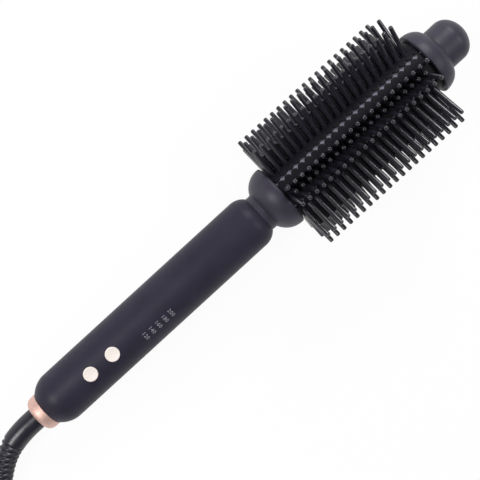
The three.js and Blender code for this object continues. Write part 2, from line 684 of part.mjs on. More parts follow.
const stripAngle = 360 / (COMB_COUNT * STRIPS_PER_COMB);
const facetEdges = [ROW_ANGLE / 2, ROW_ANGLE * 3 / 2];
const combInnerRadius = BARREL_RADIUS + COMB_CLEARANCE;
const combOuterRadius = combInnerRadius + COMB_THICKNESS;
const pinFirst = collarEnd + PIN_FIRST_OFFSET;
const pinCount = Math.floor((COMB_LENGTH - PIN_FIRST_OFFSET - PIN_END_BAND) / PIN_PITCH) + 1;
const tipStart = collarEnd + COMB_LENGTH;

// One bristle, standing out from the backing at an angle round the axis.
function bristle(station, angle, reach) {
  const root = combOuterRadius - PIN_ROOT_DEPTH;
  return new THREE.CylinderGeometry(PIN_TIP_RADIUS, PIN_BASE_RADIUS, reach - root, PIN_SIDES)
    .rotateX(Math.PI / 2)
    .translate(station, 0, (reach + root) / 2)
    .rotateX(radians(angle));
}

// Four-cornered gap in the backing where the scallops of two strips meet.
function starCutter(station, angle) {
  return new THREE.CylinderGeometry(1, 1, STAR_DEPTH, 4)
    .rotateX(Math.PI / 2)
    .scale(STAR_LENGTH, STAR_WIDTH / 2, 1)
    .translate(station, 0, (combInnerRadius + combOuterRadius) / 2)
    .rotateX(radians(angle));
}

// Angles of a comb's strips, of the seams beside them, and of its edges and facets.
function combAngles(middle) {
  const first = middle - stripAngle * (STRIPS_PER_COMB - 1) / 2;
  const strips = Array.from({ length: STRIPS_PER_COMB }, (_, i) => first + stripAngle * i);
  const trim = degrees(SEAM_GAP / 2 / combOuterRadius);
  const low = strips[0] - stripAngle / 2;
  const high = strips[strips.length - 1] + stripAngle / 2;
  const facets = strips.flatMap((strip) => [
    ...facetEdges.map((edge) => strip - edge), ...facetEdges.map((edge) => strip + edge)]);
  const inner = strips.slice(1).map((strip) => strip - stripAngle / 2);
  const edges = [low + trim, ...facets, ...inner, high - trim].sort((a, b) => a - b);
  return { strips, seams: [low, ...inner, high], edges };
}

// A comb: curved backing with scalloped strips, and three rows of bristles on each strip.
function bristleComb(middle) {
  const { strips, seams, edges } = combAngles(middle);
  const at = (radius, angle) => [-radius * Math.sin(radians(angle)), radius * Math.cos(radians(angle))];
  const outline = [...edges.map((angle) => at(combOuterRadius, angle)),
    ...edges.map((angle) => at(combInnerRadius, angle)).reverse()];
  const backing = drawn(outline, collarEnd + SEAT, tipStart - SEAT);
  const stations = Array.from({ length: pinCount }, (_, i) => pinFirst + PIN_PITCH * i);
  const between = stations.map((station) => station + PIN_PITCH / 2);
  const stars = seams.flatMap((seam) => between.map((station) => starCutter(station, seam)));
  const long = strips.flatMap((strip) => [-ROW_ANGLE, ROW_ANGLE].flatMap((side) => (
    stations.map((station) => bristle(station, strip + side, LONG_PIN_REACH)))));
  const short = strips.flatMap((strip) => (
    between.slice(0, -1).map((station) => bristle(station, strip, SHORT_PIN_REACH))));
  const cutters = wasm.Manifold.union(stars.map(solid));
  return wasm.Manifold.union([solid(backing).subtract(cutters), ...[...long, ...short].map(solid)]);
}

const tipHolderFlangeEnd = tipStart + TIP_HOLDER_FLANGE_WIDTH;
const tipWeb = tipStart - TIP_HOLDER_WEB;
const tipScrewEnd = tipStart + TIP_SCREW_REACH;
const tipScrewBore = TIP_SCREW_RADIUS + SEAT;

// Heat-proof cup between the heater and the barrel's end, which the cool tip is screwed to.
function tipHolder() {
  const cup = insideBarrel - BARREL_WALL;
  const cupStart = heaterEnd + TIP_HOLDER_GAP;
  return spun([[cupStart, cup], [cupStart, insideBarrel], [tipStart, insideBarrel],
    [tipStart, BARREL_RADIUS], [tipHolderFlangeEnd, BARREL_RADIUS], [tipHolderFlangeEnd, tipScrewBore],
    [tipWeb, tipScrewBore], [tipWeb, cup], [cupStart, cup]]);
}

function tipScrew() {
  const seat = tipWeb - SEAT;
  const head = seat - SCREW_HEAD_HEIGHT;
  return spun([[head, 0], [head, TIP_SCREW_HEAD_RADIUS], [seat, TIP_SCREW_HEAD_RADIUS],
    [seat, TIP_SCREW_RADIUS], [tipScrewEnd, TIP_SCREW_RADIUS], [tipScrewEnd, 0]], SMALL_ROUND);
}

// Cool tip: flange, rounded shoulder and the round grip with its small flat face.
function coolTip() {
  const shoulder = tipStart + FLANGE_WIDTH;
  const roundStart = tipStart + TIP_STRAIGHT_END;
  const faceShare = TIP_FACE_RADIUS / TIP_RADIUS;
  const faceAngle = 90 - degrees(Math.asin(faceShare));
  const tipEnd = roundStart + TIP_ROUND_LENGTH * Math.sqrt(1 - faceShare ** 2);
  const bore = BARREL_RADIUS + SEAT;
  const recess = tipHolderFlangeEnd + SEAT;
  const screwRoom = tipScrewEnd + SEAT;
  return spun([[tipStart, bore], [tipStart, FLANGE_RADIUS],
    ...arc(shoulder, FLANGE_RADIUS - FLANGE_ROUND, FLANGE_ROUND, FLANGE_ROUND, 0, 90, 5),
    [shoulder + FLANGE_ROUND + FLANGE_FOOT, TIP_RADIUS],
    ...arc(roundStart, 0, TIP_ROUND_LENGTH, TIP_RADIUS, 0, faceAngle, 6),
    [tipEnd, 0], [screwRoom, 0], [screwRoom, tipScrewBore], [recess, tipScrewBore], [recess, bore],
    [tipStart, bore]]);
}

// Pieces inside the handle that stand on the board or hang under it
function addBoardPieces() {
  addPiece(brush, 'control_board', controlBoard(), BOARD_GREEN);
  for (const [name, station] of Object.entries(buttonStations)) {
    addPiece(brush, `${name}_switch`, switchBody(station), PALE_PLASTIC);
    addPiece(brush, `${name}_plunger`, post(PLUNGER_RADIUS, station, plungerBottom, plungerTop), NYLON_BLACK);
    addPiece(brush, `${name}_button`, buttonCap(station), PALE_ROSE);
  }
  windows.forEach((station, i) => {
    addPiece(brush, `indicator_lamp_${i + 1}`, centredBlock(station, LAMP_SIZE, onBoard), PALE_PLASTIC);
  });
  addPiece(brush, 'indicator_light_bar', lightBar(), CLEAR_PLASTIC);
  const under = (size) => boardBottom - SEAT - size.z;
  addPiece(brush, 'controller_chip', centredBlock(BOARD_START + CHIP_OFFSET, CHIP_SIZE, onBoard), NYLON_BLACK);
  addPiece(brush, 'supply_capacitor',
    centredBlock(BOARD_START + CAPACITOR_OFFSET, CAPACITOR_SIZE, under(CAPACITOR_SIZE)), PALE_PLASTIC);
  addPiece(brush, 'heater_triac',
    centredBlock(BOARD_START + TRIAC_OFFSET, TRIAC_SIZE, under(TRIAC_SIZE)), NYLON_BLACK);
}

// Wires from the contact springs to the board's underside, one beside the other
function addSupplyWires() {
  const underBoard = boardBottom - SEAT - WIRE_RADIUS;
  const onFoot = CONTACT_BLOCK_TOP + SEAT + SPRING_THICKNESS + SEAT + WIRE_RADIUS;
  slipRingStations.forEach((station, i) => {
    const middle = station + SLIP_RING_WIDTH / 2;
    const step = SUPPLY_WIRE_STEP * i;
    const bend = SUPPLY_WIRE_BEND_STEP * i - SUPPLY_WIRE_BEND.y;
    addPiece(brush, `supply_wire_${i + 1}`, wire([
      [middle, -SUPPLY_WIRE_START_SIDE, onFoot],
      [middle + SUPPLY_WIRE_BEND.x, bend, onFoot + SUPPLY_WIRE_BEND.z],
      [BOARD_START - SUPPLY_WIRE_EDGE.x, step - SUPPLY_WIRE_EDGE.y, SUPPLY_WIRE_EDGE.z],
      [BOARD_START + SUPPLY_WIRE_TURN.x, step - SUPPLY_WIRE_TURN.y, underBoard - SUPPLY_WIRE_TURN.z],
      [BOARD_START + SUPPLY_WIRE_END.x, step - SUPPLY_WIRE_END.y, underBoard],
    ], WIRE_RADIUS, WIRE_SIDES, 12), WIRE_RED);
  });
}

// Wires from the board past the rear boss and through the neck to the heater and its sensor
function addHeaterWires() {
  const terminal = boardEnd - TERMINAL_INSET;
  const overBoard = onBoard + WIRE_RADIUS;
  const pastBoss = screwStations[1] + SENSOR_WIRE_PAST_BOSS.x;
  const sensorHeight = WIRE_PASSAGE_RADIUS - WIRE_RADIUS - SENSOR_WIRE_DROP;
  const underWall = (place) => [place.y, cavityRadius - place.z];
  [-1, 1].forEach((side, i) => {
    const spread = side * HEATER_WIRE_SPREAD;
    const narrow = side * PASSAGE_WIRE_SPREAD;
    addPiece(brush, `heater_wire_${i + 1}`, wire([
      [terminal, spread, overBoard], [boardEnd + 3, spread, overBoard], [pastBoss, side * BOSS_WIRE_SPREAD, 3],
      [holderStart, narrow, 0], [holderEnd - 6, narrow, 0], [holderEnd + 2, side * 4, 0],
      [ceramicStart - SEAT, spread, 0],
    ], WIRE_RADIUS, WIRE_SIDES, 16), WIRE_WHITE);
  });
  addPiece(brush, 'sensor_wire', wire([
    [terminal, SENSOR_WIRE_START, overBoard],
    [boardEnd + SENSOR_WIRE_RISE.x, SENSOR_WIRE_RISE.y, overBoard + SENSOR_WIRE_RISE.z],
    [boardEnd + SENSOR_WIRE_CREST.x, ...underWall(SENSOR_WIRE_CREST)],
    [pastBoss, ...underWall(SENSOR_WIRE_PAST_BOSS)],
    [holderStart - SENSOR_WIRE_FALL.x, SENSOR_WIRE_FALL.y, SENSOR_WIRE_FALL.z],
    [holderStart, 0, sensorHeight], [holderEnd - 3, 0, sensorHeight], [holderEnd + 1, 0, sensorHeight + 1],
    [heaterStart - SEAT - SENSOR_LENGTH / 2, 0, POCKET_OFFSET],
  ], WIRE_RADIUS, WIRE_SIDES, 18), WIRE_RED);
}

// The barrel with its heater. The sensor and the fuse lie half in their pockets in the blocks.
function addHeater() {
  const sensorStart = heaterStart - SENSOR_LENGTH / 2 + SEAT;
  const fuseStart = heaterStart - FUSE_LENGTH / 3;
  const sensor = bar(SENSOR_RADIUS, sensorStart, sensorStart + SENSOR_LENGTH, SMALL_ROUND);
  const fuse = bar(FUSE_RADIUS, fuseStart, fuseStart + FUSE_LENGTH, SMALL_ROUND);
  const barrel = sleeve(barrelBore, BARREL_RADIUS, holderFlangeEnd + SEAT, tipStart - SEAT, BARREL_SIDES);
  addPiece(brush, 'barrel_tube', barrel, GREY_METAL);
  addPiece(brush, 'heater_block_upper', heaterBlock(1, SENSOR_RADIUS + SEAT, SENSOR_LENGTH), GREY_METAL);
  addPiece(brush, 'heater_block_lower', heaterBlock(-1, FUSE_RADIUS + SEAT, FUSE_LENGTH), GREY_METAL);
  addPiece(brush, 'ceramic_heater', ceramicHeater(), CERAMIC_WHITE);
  addPiece(brush, 'temperature_sensor', sensor.translate(0, 0, POCKET_OFFSET), CERAMIC_WHITE);
  addPiece(brush, 'thermal_fuse', fuse.translate(0, 0, -POCKET_OFFSET), STEEL);
}

function addHandle() {
  addPiece(brush, 'handle_top_shell', handleTopShell(), SOFT_BLACK);
  addPiece(brush, 'handle_bottom_shell', handleBottomShell(), SOFT_BLACK);
  addPiece(brush, 'end_ring', endRing(), ROSE_GOLD);
  addPiece(brush, 'contact_block', contactBlock(), PALE_PLASTIC);
  slipRingStations.forEach((station, i) => {
    addPiece(brush, `contact_spring_${i + 1}`, contactSpring(station), BRASS);
  });
  screwStations.forEach((station, i) => {
    addPiece(brush, `shell_screw_${i + 1}`, shellScrew(station), STEEL);
  });
}

function addHead() {
  addPiece(brush, 'neck_collar', neckCollar(), SOFT_BLACK);
  addPiece(brush, 'barrel_holder', barrelHolder(), PALE_PLASTIC);
  for (let i = 0; i < COMB_COUNT; i += 1) {
    const middle = stripAngle / 2 + stripAngle * STRIPS_PER_COMB * i;
    addPiece(brush, `bristle_comb_${i + 1}`, bristleComb(middle), NYLON_BLACK);
  }
  addPiece(brush, 'tip_holder', tipHolder(), PALE_PLASTIC);
  addPiece(brush, 'tip_screw', tipScrew(), STEEL);
  addPiece(brush, 'cool_tip', coolTip(), SOFT_BLACK);
}

// Tilts the brush so that it lies on its handle's dome and on its two lowest bristle rows.
function layDown() {
  const corner = PIN_TIP_RADIUS * Math.sin(Math.PI / PIN_SIDES);
  const reach = LONG_PIN_REACH * Math.cos(radians(ROW_ANGLE)) + corner * Math.sin(radians(ROW_ANGLE));
  const run = pinFirst - domeCentre;
  const pitch = Math.atan2(reach, run) - Math.asin(HANDLE_RADIUS / Math.hypot(run, reach));
  brush.rotation.y = -pitch;
  brush.updateMatrixWorld(true);
  const box = new THREE.Box3().setFromObject(brush, true);
  const middle = box.getCenter(new THREE.Vector3());
  brush.position.set(-middle.x, -middle.y, -box.min.z);
  brush.updateMatrixWorld(true);
}

addHandle();
addBoardPieces();
addSupplyWires();
addHeaterWires();
addHead();
addHeater();
layDown();

// A point of the brush's axis in the object's frame
function axisPoint(station) {
  return new THREE.Vector3(station, 0, 0).applyMatrix4(brush.matrixWorld);
}

// The swivel is built in the brush's frame and carried by the lead.
function addSwivel() {
  const pieces = [['swivel_rotor', swivelRotor(), PALE_PLASTIC],
    ...slipRingStations.map((station, i) => [`slip_ring_${i + 1}`, slipRing(station), BRASS])];
  for (const [name, shape, look] of pieces) {
    addPiece(lead, name, shape.applyMatrix4(brush.matrixWorld), look);
  }
}

const exit = axisPoint(0);
const fromExit = ([along, across, height]) => new THREE.Vector3(exit.x + along, exit.y + across, height);
const route = new THREE.CatmullRomCurve3(
  [axisPoint(BOOT_START), exit, ...LEAD_ROUTE.map(fromExit)], false, 'centripetal');
const routeLength = route.getLength();
const bootRoute = BOOT_START + BOOT_LENGTH;
const alongRoute = (distance) => route.getPointAt(Math.min(distance / routeLength, 1));

// Strain relief: smooth where it leaves the ring, then ribs that taper to the cord.
function cordBoot() {
  const smooth = Array.from({ length: SMOOTH_STEPS }, (_, i) => BOOT_START + BOOT_SMOOTH * i / SMOOTH_STEPS);
  const stops = [0, ...smooth].map((distance) => [distance, BOOT_RADIUS]);
  const ribs = Math.floor((BOOT_LENGTH - BOOT_SMOOTH) / RIB_PITCH);
  for (let i = 0; i < ribs; i += 1) {
    const start = BOOT_START + BOOT_SMOOTH + RIB_PITCH * i;
    const radius = THREE.MathUtils.lerp(BOOT_RADIUS, BOOT_END_RADIUS, i / ribs);
    stops.push([start, radius], [start + RIB_PITCH / 2, radius - RIB_DEPTH]);
  }
  stops.push([bootRoute - BOOT_RIM, BOOT_END_RADIUS], [bootRoute, BOOT_END_RADIUS]);
  const centres = stops.map(([distance]) => alongRoute(distance));
  return ringedTube(centres, stops.map(([, radius]) => radius), BOOT_SIDES);
}

const cordRadius = CORD_DIAMETER / 2;
const hankTurns = HANK_TURNS_IN + HANK_TURNS_OUT;
const hankStart = -RUN_SHARE / 2;

// How far the hank's end loops stand from its middle line at a turn
function hankReach(turn) {
  return HANK_INNER_RADIUS + HANK_PITCH * Math.abs(HANK_TURNS_IN - turn);
}

// A point on the hank. It winds in on the floor, climbs along one run, and winds out on top.
function hankPoint(turn) {
  const share = (turn + RUN_SHARE / 2 + 1) % 1;
  const back = share >= 0.5;
  const part = back ? share - 0.5 : share;
  const side = back ? -1 : 1;
  const reach = hankReach(turn);
  const onRun = part < RUN_SHARE;
  const step = onRun ? part / RUN_SHARE : (part - RUN_SHARE) / (0.5 - RUN_SHARE);
  const waist = HANK_DRAW_IN * (1 - Math.cos(2 * Math.PI * step)) / 2;
  const along = onRun ? HANK_RUN * (0.5 - step) : -HANK_RUN / 2 - reach * Math.sin(Math.PI * step);
  const across = onRun ? -(reach - waist) : -reach * Math.cos(Math.PI * step);
  const climb = THREE.MathUtils.smoothstep(
    turn, HANK_TURNS_IN - RUN_SHARE / 2, HANK_TURNS_IN + RUN_SHARE / 2);
  return new THREE.Vector3(exit.x + HANK_CENTRE.x + side * along, HANK_CENTRE.y + side * across,
    cordRadius + HANK_LIFT + HANK_LAYER * climb);
}

// Points along the hank, a given number to each turn
function hankPoints(stepsPerTurn) {
  const span = hankTurns - hankStart;
  const steps = Math.round(span * stepsPerTurn);
  return Array.from({ length: steps + 1 }, (_, i) => hankPoint(hankStart + span * i / steps));
}

// The least gap between one stretch of the hank and another
function leastHankGap() {
  const perTurn = HANK_STEPS * 8;
  const points = hankPoints(perTurn);
  let least = Infinity;
  for (let i = 0; i < points.length; i += 1) {
    for (let j = i + perTurn / 4; j < points.length; j += 1) {
      least = Math.min(least, points[i].distanceTo(points[j]));
    }
  }
  return least - CORD_DIAMETER;
}

// A rounded outline of the tie across the hank, grown outwards by a thickness
function tieOutline(shape, grow, round) {
  const left = hankReach(0) - HANK_DRAW_IN + cordRadius + TIE_SLACK;
  const right = hankReach(hankTurns) - HANK_DRAW_IN + cordRadius + TIE_SLACK;
  const [west, east] = [-left - grow, right + grow];
  const [low, high] = [HANK_LIFT - SEAT - grow, HANK_LIFT + CORD_DIAMETER + HANK_LAYER + SEAT + grow];
  shape.moveTo(west, low + round);
  shape.quadraticCurveTo(west, low, west + round, low);
  shape.lineTo(east - round, low);
  shape.quadraticCurveTo(east, low, east, low + round);
  shape.lineTo(east, high - round);
  shape.quadraticCurveTo(east, high, east - round, high);
  shape.lineTo(west + round, high);
  shape.quadraticCurveTo(west, high, west, high - round);
  shape.closePath();
  return shape;
}

// Band round the hank's waist
function cordTie() {
  const band = tieOutline(new THREE.Shape(), TIE_THICKNESS, TIE_ROUND);
  band.holes.push(tieOutline(new THREE.Path(), 0, TIE_ROUND - TIE_THICKNESS));
  return new THREE.ExtrudeGeometry(band, { depth: TIE_WIDTH, bevelEnabled: false, curveSegments: 3 })
    .applyMatrix4(ALONG_X)
    .translate(exit.x + HANK_CENTRE.x - TIE_WIDTH / 2, HANK_CENTRE.y, 0);
}

const plugStart = fromExit(TAIL_ROUTE[TAIL_ROUTE.length - 1]).add(new THREE.Vector3(SEAT, 0, 0));

// Flat two-pin plug that narrows towards its cord
function plugBody() {
  const half = PLUG_WIDTH / 2 - PLUG_EDGE;
  const neck = PLUG_NECK_WIDTH / 2 - PLUG_EDGE;
  const front = PLUG_LENGTH - PLUG_EDGE;
  const shape = new THREE.Shape();
  shape.moveTo(PLUG_EDGE, -neck);
  shape.lineTo(PLUG_NECK_END, -neck);
  shape.quadraticCurveTo(PLUG_FLARE, -half, PLUG_SIDE_START, -half);
  shape.lineTo(front, -half);
  shape.lineTo(front, half);
  shape.lineTo(PLUG_SIDE_START, half);
  shape.quadraticCurveTo(PLUG_FLARE, half, PLUG_NECK_END, neck);
  shape.lineTo(PLUG_EDGE, neck);
  shape.closePath();
  return new THREE.ExtrudeGeometry(shape, {
    depth: PLUG_THICKNESS - 2 * PLUG_EDGE,
    bevelThickness: PLUG_EDGE,
    bevelSize: PLUG_EDGE,
    bevelSegments: 1,
    curveSegments: 5,
  }).translate(plugStart.x, plugStart.y, plugStart.z - PLUG_THICKNESS / 2 + PLUG_EDGE);
}

// The strain relief, the cord with its hank and tie, and the plug
function addLead() {
  const cordStart = bootRoute + SEAT;
  const straight = new THREE.Vector3(CORD_DIAMETER, 0, 0);
  const gap = new THREE.Vector3(SEAT, 0, 0);
  const entry = hankPoint(hankStart).add(straight);
  const leave = hankPoint(hankTurns).add(straight);
  const tailStart = leave.clone().add(gap);
  const cordPoints = Array.from({ length: CORD_SAMPLES + 1 }, (_, i) => alongRoute(
    THREE.MathUtils.lerp(cordStart, routeLength, i / CORD_SAMPLES)).toArray());
  cordPoints.push(entry.clone().add(gap).toArray());
  const tailPoints = [tailStart.toArray(), tailStart.clone().add(gap).toArray(),
    ...TAIL_ROUTE.map((point) => fromExit(point).toArray())];
  const centres = [entry, ...hankPoints(HANK_STEPS), leave];
  const hank = ringedTube(centres, centres.map(() => cordRadius), HANK_SIDES);
  addPiece(lead, 'cord_boot', cordBoot(), CORD_BLACK);
  addPiece(lead, 'mains_cord', wire(cordPoints, cordRadius, CORD_SIDES, CORD_STEPS), CORD_BLACK);
  addPiece(lead, 'cord_hank', hank, CORD_BLACK);
  addPiece(lead, 'cord_tail', wire(tailPoints, cordRadius, CORD_SIDES, CORD_STEPS), CORD_BLACK);
  addPiece(lead, 'cord_tie', cordTie(), NYLON_BLACK);
  addPiece(lead, 'plug_body', plugBody(), CORD_BLACK);
  [-1, 1].forEach((side, i) => {
    const start = plugStart.x + PLUG_LENGTH + SEAT;
    const across = plugStart.y + side * PLUG_PIN_SPACING / 2;
    const pin = bar(PLUG_PIN_RADIUS, start, start + PLUG_PIN_LENGTH, SMALL_ROUND);
    addPiece(lead, `plug_pin_${i + 1}`, pin.translate(0, across, plugStart.z), STEEL);
  });
}

addSwivel();
addLead();
console.log(`least gap in the hank ${leastHankGap().toFixed(2)} mm`);

const styler = new THREE.Group();
styler.add(brush, lead);

export default styler;
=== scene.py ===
"""Heated round styling brush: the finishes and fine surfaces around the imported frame.

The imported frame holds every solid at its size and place. This script hides the plain solids that
show, models each one again as a smooth surface in the same place, and dresses every piece.
Brush pieces are modelled in millimetres along the brush's own axis, x from the lead to the cool tip
and z to the buttons, and the lead's in millimetres on the floor. Each is then placed in metres.
"""

import json
import logging
import math
from dataclasses import dataclass, field
from enum import Enum
from typing import Callable, Iterable, Sequence

import bpy
from mathutils import Matrix, Vector


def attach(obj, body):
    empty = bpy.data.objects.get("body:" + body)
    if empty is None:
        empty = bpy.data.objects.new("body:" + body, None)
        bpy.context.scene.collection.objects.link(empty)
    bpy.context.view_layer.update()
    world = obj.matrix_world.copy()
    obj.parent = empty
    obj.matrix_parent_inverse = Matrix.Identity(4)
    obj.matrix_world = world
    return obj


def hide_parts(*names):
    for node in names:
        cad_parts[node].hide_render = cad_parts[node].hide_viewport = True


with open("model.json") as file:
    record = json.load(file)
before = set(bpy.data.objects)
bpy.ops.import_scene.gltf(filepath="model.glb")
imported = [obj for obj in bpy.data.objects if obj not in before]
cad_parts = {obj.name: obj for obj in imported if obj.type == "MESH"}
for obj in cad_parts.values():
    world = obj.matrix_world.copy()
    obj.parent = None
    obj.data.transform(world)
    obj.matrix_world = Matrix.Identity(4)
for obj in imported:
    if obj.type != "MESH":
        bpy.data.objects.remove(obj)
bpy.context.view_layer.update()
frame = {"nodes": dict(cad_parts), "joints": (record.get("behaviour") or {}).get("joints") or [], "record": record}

SWIVEL = next(joint for joint in frame["joints"] if joint["name"] == "cord_swivel")
MM = 0.001
HALF_TURN = math.pi
FULL_TURN = 2 * math.pi
SEAM = 1e-4
PLANE_SLACK = 1e-3
SWIVEL_STATION = 15.0
NOISE_RANGE = (0.3, 0.7)
MIX_COLOURS = (6, 7)
MIX_RESULT = 2

Piece = bpy.types.Object
Socket = bpy.types.NodeSocket
Tree = bpy.types.NodeTree
Inputs = dict[str | int, object]
Point = tuple[float, float]
Triple = tuple[float, float, float]
Colour = tuple[int, int, int]
log = logging.getLogger("styling_brush")


class Slot(Enum):
    """Material slots of the record."""

    SOFT_TOUCH = "soft_touch"
    ROSE_GOLD = "rose_gold"
    BUTTON = "button_rose"
    NYLON = "black_nylon"
    BARREL = "barrel_metal"
    INNER = "inner_plastic"
    CLEAR = "clear_plastic"
    BRASS = "contact_brass"
    STEEL = "plated_steel"
    BOARD = "board"
    CERAMIC = "ceramic"
    CORD = "cord_rubber"
    RED_WIRE = "wire_red"
    WHITE_WIRE = "wire_white"


class Body(Enum):
    """Moving bodies of the frame."""

    LEAD = "lead"
    BRUSH = "brush"
    POWER_KEY = "power_key"
    HEAT_KEY = "heat_key"


def linear(colour: Colour) -> tuple[float, float, float, float]:
    """Gives a display colour, in bytes, as a linear one with full opacity, by the sRGB curve."""
    shares = [value / 255 for value in colour]
    bright = [s / 12.92 if s <= 0.04045 else ((s + 0.055) / 1.055) ** 2.4 for s in shares]
    return (*bright, 1.0)


def fill(tree: Tree, new: bpy.types.Node, inputs: Inputs) -> None:
    """Gives a node's inputs, by name or number, a value or a link from a socket."""
    for key, value in inputs.items():
        if isinstance(value, Socket):
            tree.links.new(value, new.inputs[key])
        else:
            new.inputs[key].default_value = value


def node(tree: Tree, kind: str, output: str | int, inputs: Inputs, **settings: str) -> Socket:
    """Adds a node to a tree.

    Args:
        tree: The tree.
        kind: The node's type, without the first part that all of them have.
        output: Name or number of the output to give back.
        inputs: Values and sockets for its inputs, by name or number.
        settings: Settings of the node itself.

    Returns:
        The output.
    """
    new = tree.nodes.new(f"ShaderNode{kind}")
    for name, value in settings.items():
        setattr(new, name, value)
    fill(tree, new, inputs)
    return new.outputs[output]


@dataclass(frozen=True)
class Finish:
    """A surface finish with mottled colour, varied gloss and fine relief.

    Attributes:
        name: Name of the finish.
        first: First display colour, in bytes.
        second: Second display colour, in bytes.
        gloss: Least and greatest roughness.
        metallic: Share of metal.
        mottle: Colour patches to a metre.
        grain: Grains of the relief to a metre.
        depth: Depth of the grain in metres.
        stretch: Factor that packs the grain closer along x.
        specular: Specular level.
        coat: Weight of a clear coat.
        coat_ior: Index of refraction of the clear coat.
        sheen: Weight of the sheen.
        sheen_roughness: Roughness of the sheen.
    """

    name: str
    first: Colour
    second: Colour
    gloss: Point
    metallic: float = 0.0
    mottle: float = 60.0
    grain: float = 4000.0
    depth: float = 0.00001
    stretch: float = 1.0
    specular: float = 0.5
    coat: float = 0.0
    coat_ior: float = 1.5
    sheen: float = 0.0
    sheen_roughness: float = 0.5

    def material(self) -> bpy.types.Material:
        """Gives the material, made once and named apart from the frame's plain ones."""
        name = f"{self.name}_finish"
        ready = bpy.data.materials.get(name)
        if ready is not None:
            return ready
        material = bpy.data.materials.new(name)
        material.use_nodes = True
        tree = material.node_tree
        place = node(tree, "TexCoord", "Object", {})
        drawn = node(tree, "Mapping", "Vector", {"Vector": place, "Scale": (self.stretch, 1, 1)})

        def noise(vector: Socket, scale: float, detail: float = 3.0) -> Socket:
            """Gives a noise pattern's value."""
            return node(tree, "TexNoise", "Fac", {"Vector": vector, "Scale": scale, "Detail": detail})

        def spread(value: Socket, low: float, high: float) -> Socket:
            """Maps a noise value from where most of it lies to between two levels."""
            levels = dict(zip(("From Min", "From Max", "To Min", "To Max"), (*NOISE_RANGE, low, high)))
            return node(tree, "MapRange", "Result", {"Value": value, **levels})

        colours = dict(zip(MIX_COLOURS, (linear(self.first), linear(self.second))))
        share = spread(noise(place, self.mottle), 0, 1)
        relief = {"Height": noise(drawn, self.grain, 2.0), "Distance": self.depth, "Strength": 1.0}
        fill(tree, tree.nodes["Principled BSDF"], {
            "Base Color": node(tree, "Mix", MIX_RESULT, {"Factor": share, **colours}, data_type="RGBA"),
            "Roughness": spread(noise(drawn, self.mottle * 3), *self.gloss),
            "Normal": node(tree, "Bump", "Normal", relief),
            "Metallic": self.metallic,
            "Specular IOR Level": self.specular,
            "Coat Weight": self.coat,
            "Coat IOR": self.coat_ior,
            "Sheen Weight": self.sheen,
            "Sheen Roughness": self.sheen_roughness,
        })
        return material


# A lighter copy of the soft-touch finish, worn by the collar and the cool tip: painted light that makes their
# highlights brighter than the handle's.
HEAD_TOUCH_PAINTED_LIGHT = Finish(
    "soft_touch_head_painted_light", (53, 50, 62), (59, 56, 68), (0.4, 0.48),
    grain=5200, depth=0.000012, specular=0.26, sheen=0.02, sheen_roughness=0.45,
)
# A darker copy of the black nylon, worn by the strips' backing plates: painted shade for the dark between the
# pins.
BACKING_PAINTED_SHADE = Finish("nylon_backing_painted_shade", (17, 16, 22), (23, 22, 28), (0.38, 0.5), grain=2800, specular=0.12)
BOOT = Finish("boot_rubber", (26, 23, 34), (31, 28, 39), (0.3, 0.38), grain=3000, depth=0.000008)
TAPE = Finish("hook_tape", (24, 24, 27), (40, 40, 44), (0.8, 0.95), grain=1500, depth=0.0002, sheen=0.3)
INK = Finish("grey_print", (138, 135, 144), (150, 147, 156), (0.5, 0.6), grain=6000, depth=0.000003)

FINISHES = {
    Slot.SOFT_TOUCH: Finish(
        "soft_touch_black", (42, 39, 52), (47, 44, 58), (0.42, 0.5),
        grain=5200, depth=0.000012, specular=0.16, sheen=0.02, sheen_roughness=0.45,
    ),
    Slot.ROSE_GOLD: Finish(
        "rose_gold", (216, 178, 166), (226, 191, 179), (0.52, 0.58),
        metallic=0.8, coat=0.1, grain=900, depth=0.000004, stretch=8.0,
    ),
    Slot.BUTTON: Finish(
        "button_rose", (234, 223, 215), (241, 231, 224), (0.4, 0.5), grain=3600, depth=0.000006,
    ),
    Slot.NYLON: Finish(
        "gloss_nylon", (29, 27, 35), (35, 33, 42), (0.25, 0.35),
        grain=2600, depth=0.000002, specular=0.12, coat=0.9, coat_ior=1.52,
    ),
    Slot.BARREL: Finish(
        "barrel_metal", (112, 108, 122), (126, 122, 136), (0.5, 0.6),
        metallic=0.2, grain=1400, depth=0.000008, stretch=6.0, specular=0.3,
    ),
    Slot.CLEAR: Finish(
        "smoked_window", (16, 16, 22), (20, 20, 27), (0.08, 0.14), grain=800, depth=0.000002, coat=0.3,
    ),
    Slot.CORD: Finish("cord_rubber", (33, 33, 37), (40, 40, 45), (0.38, 0.5), grain=2400, depth=0.000015),
    Slot.STEEL: Finish("plated_steel", (176, 178, 184), (196, 198, 204), (0.2, 0.32), 1.0, grain=1500),
    Slot.BRASS: Finish("contact_brass", (192, 156, 84), (208, 172, 98), (0.24, 0.36), 1.0, grain=1500),
    Slot.INNER: Finish("inner_plastic", (222, 218, 208), (232, 229, 220), (0.42, 0.55), grain=3000),
    Slot.BOARD: Finish("board_green", (26, 86, 54), (34, 100, 64), (0.3, 0.42), mottle=200, grain=3000),
    Slot.CERAMIC: Finish("ceramic", (238, 235, 226), (246, 244, 237), (0.5, 0.65), grain=3500),
    Slot.RED_WIRE: Finish("red_insulation", (150, 38, 33), (166, 48, 42), (0.4, 0.5), grain=2500),
    Slot.WHITE_WIRE: Finish("white_insulation", (226, 223, 215), (236, 234, 228), (0.4, 0.5), grain=2500),
}


ALONG = Vector(SWIVEL["axis"]).normalized()
SIDE = Vector((0, 1, 0))
FRONT = ALONG.cross(SIDE)
START = Vector(SWIVEL["pos_m"]) - ALONG * SWIVEL_STATION * MM
BRUSH_TURN = Matrix((ALONG, SIDE, FRONT)).transposed().to_4x4()
ON_FLOOR = Matrix.Scale(MM, 4)
ON_BRUSH = Matrix.Translation(START) @ BRUSH_TURN @ ON_FLOOR
STAND = Matrix.Rotation(-HALF_TURN / 2, 4, "Y")


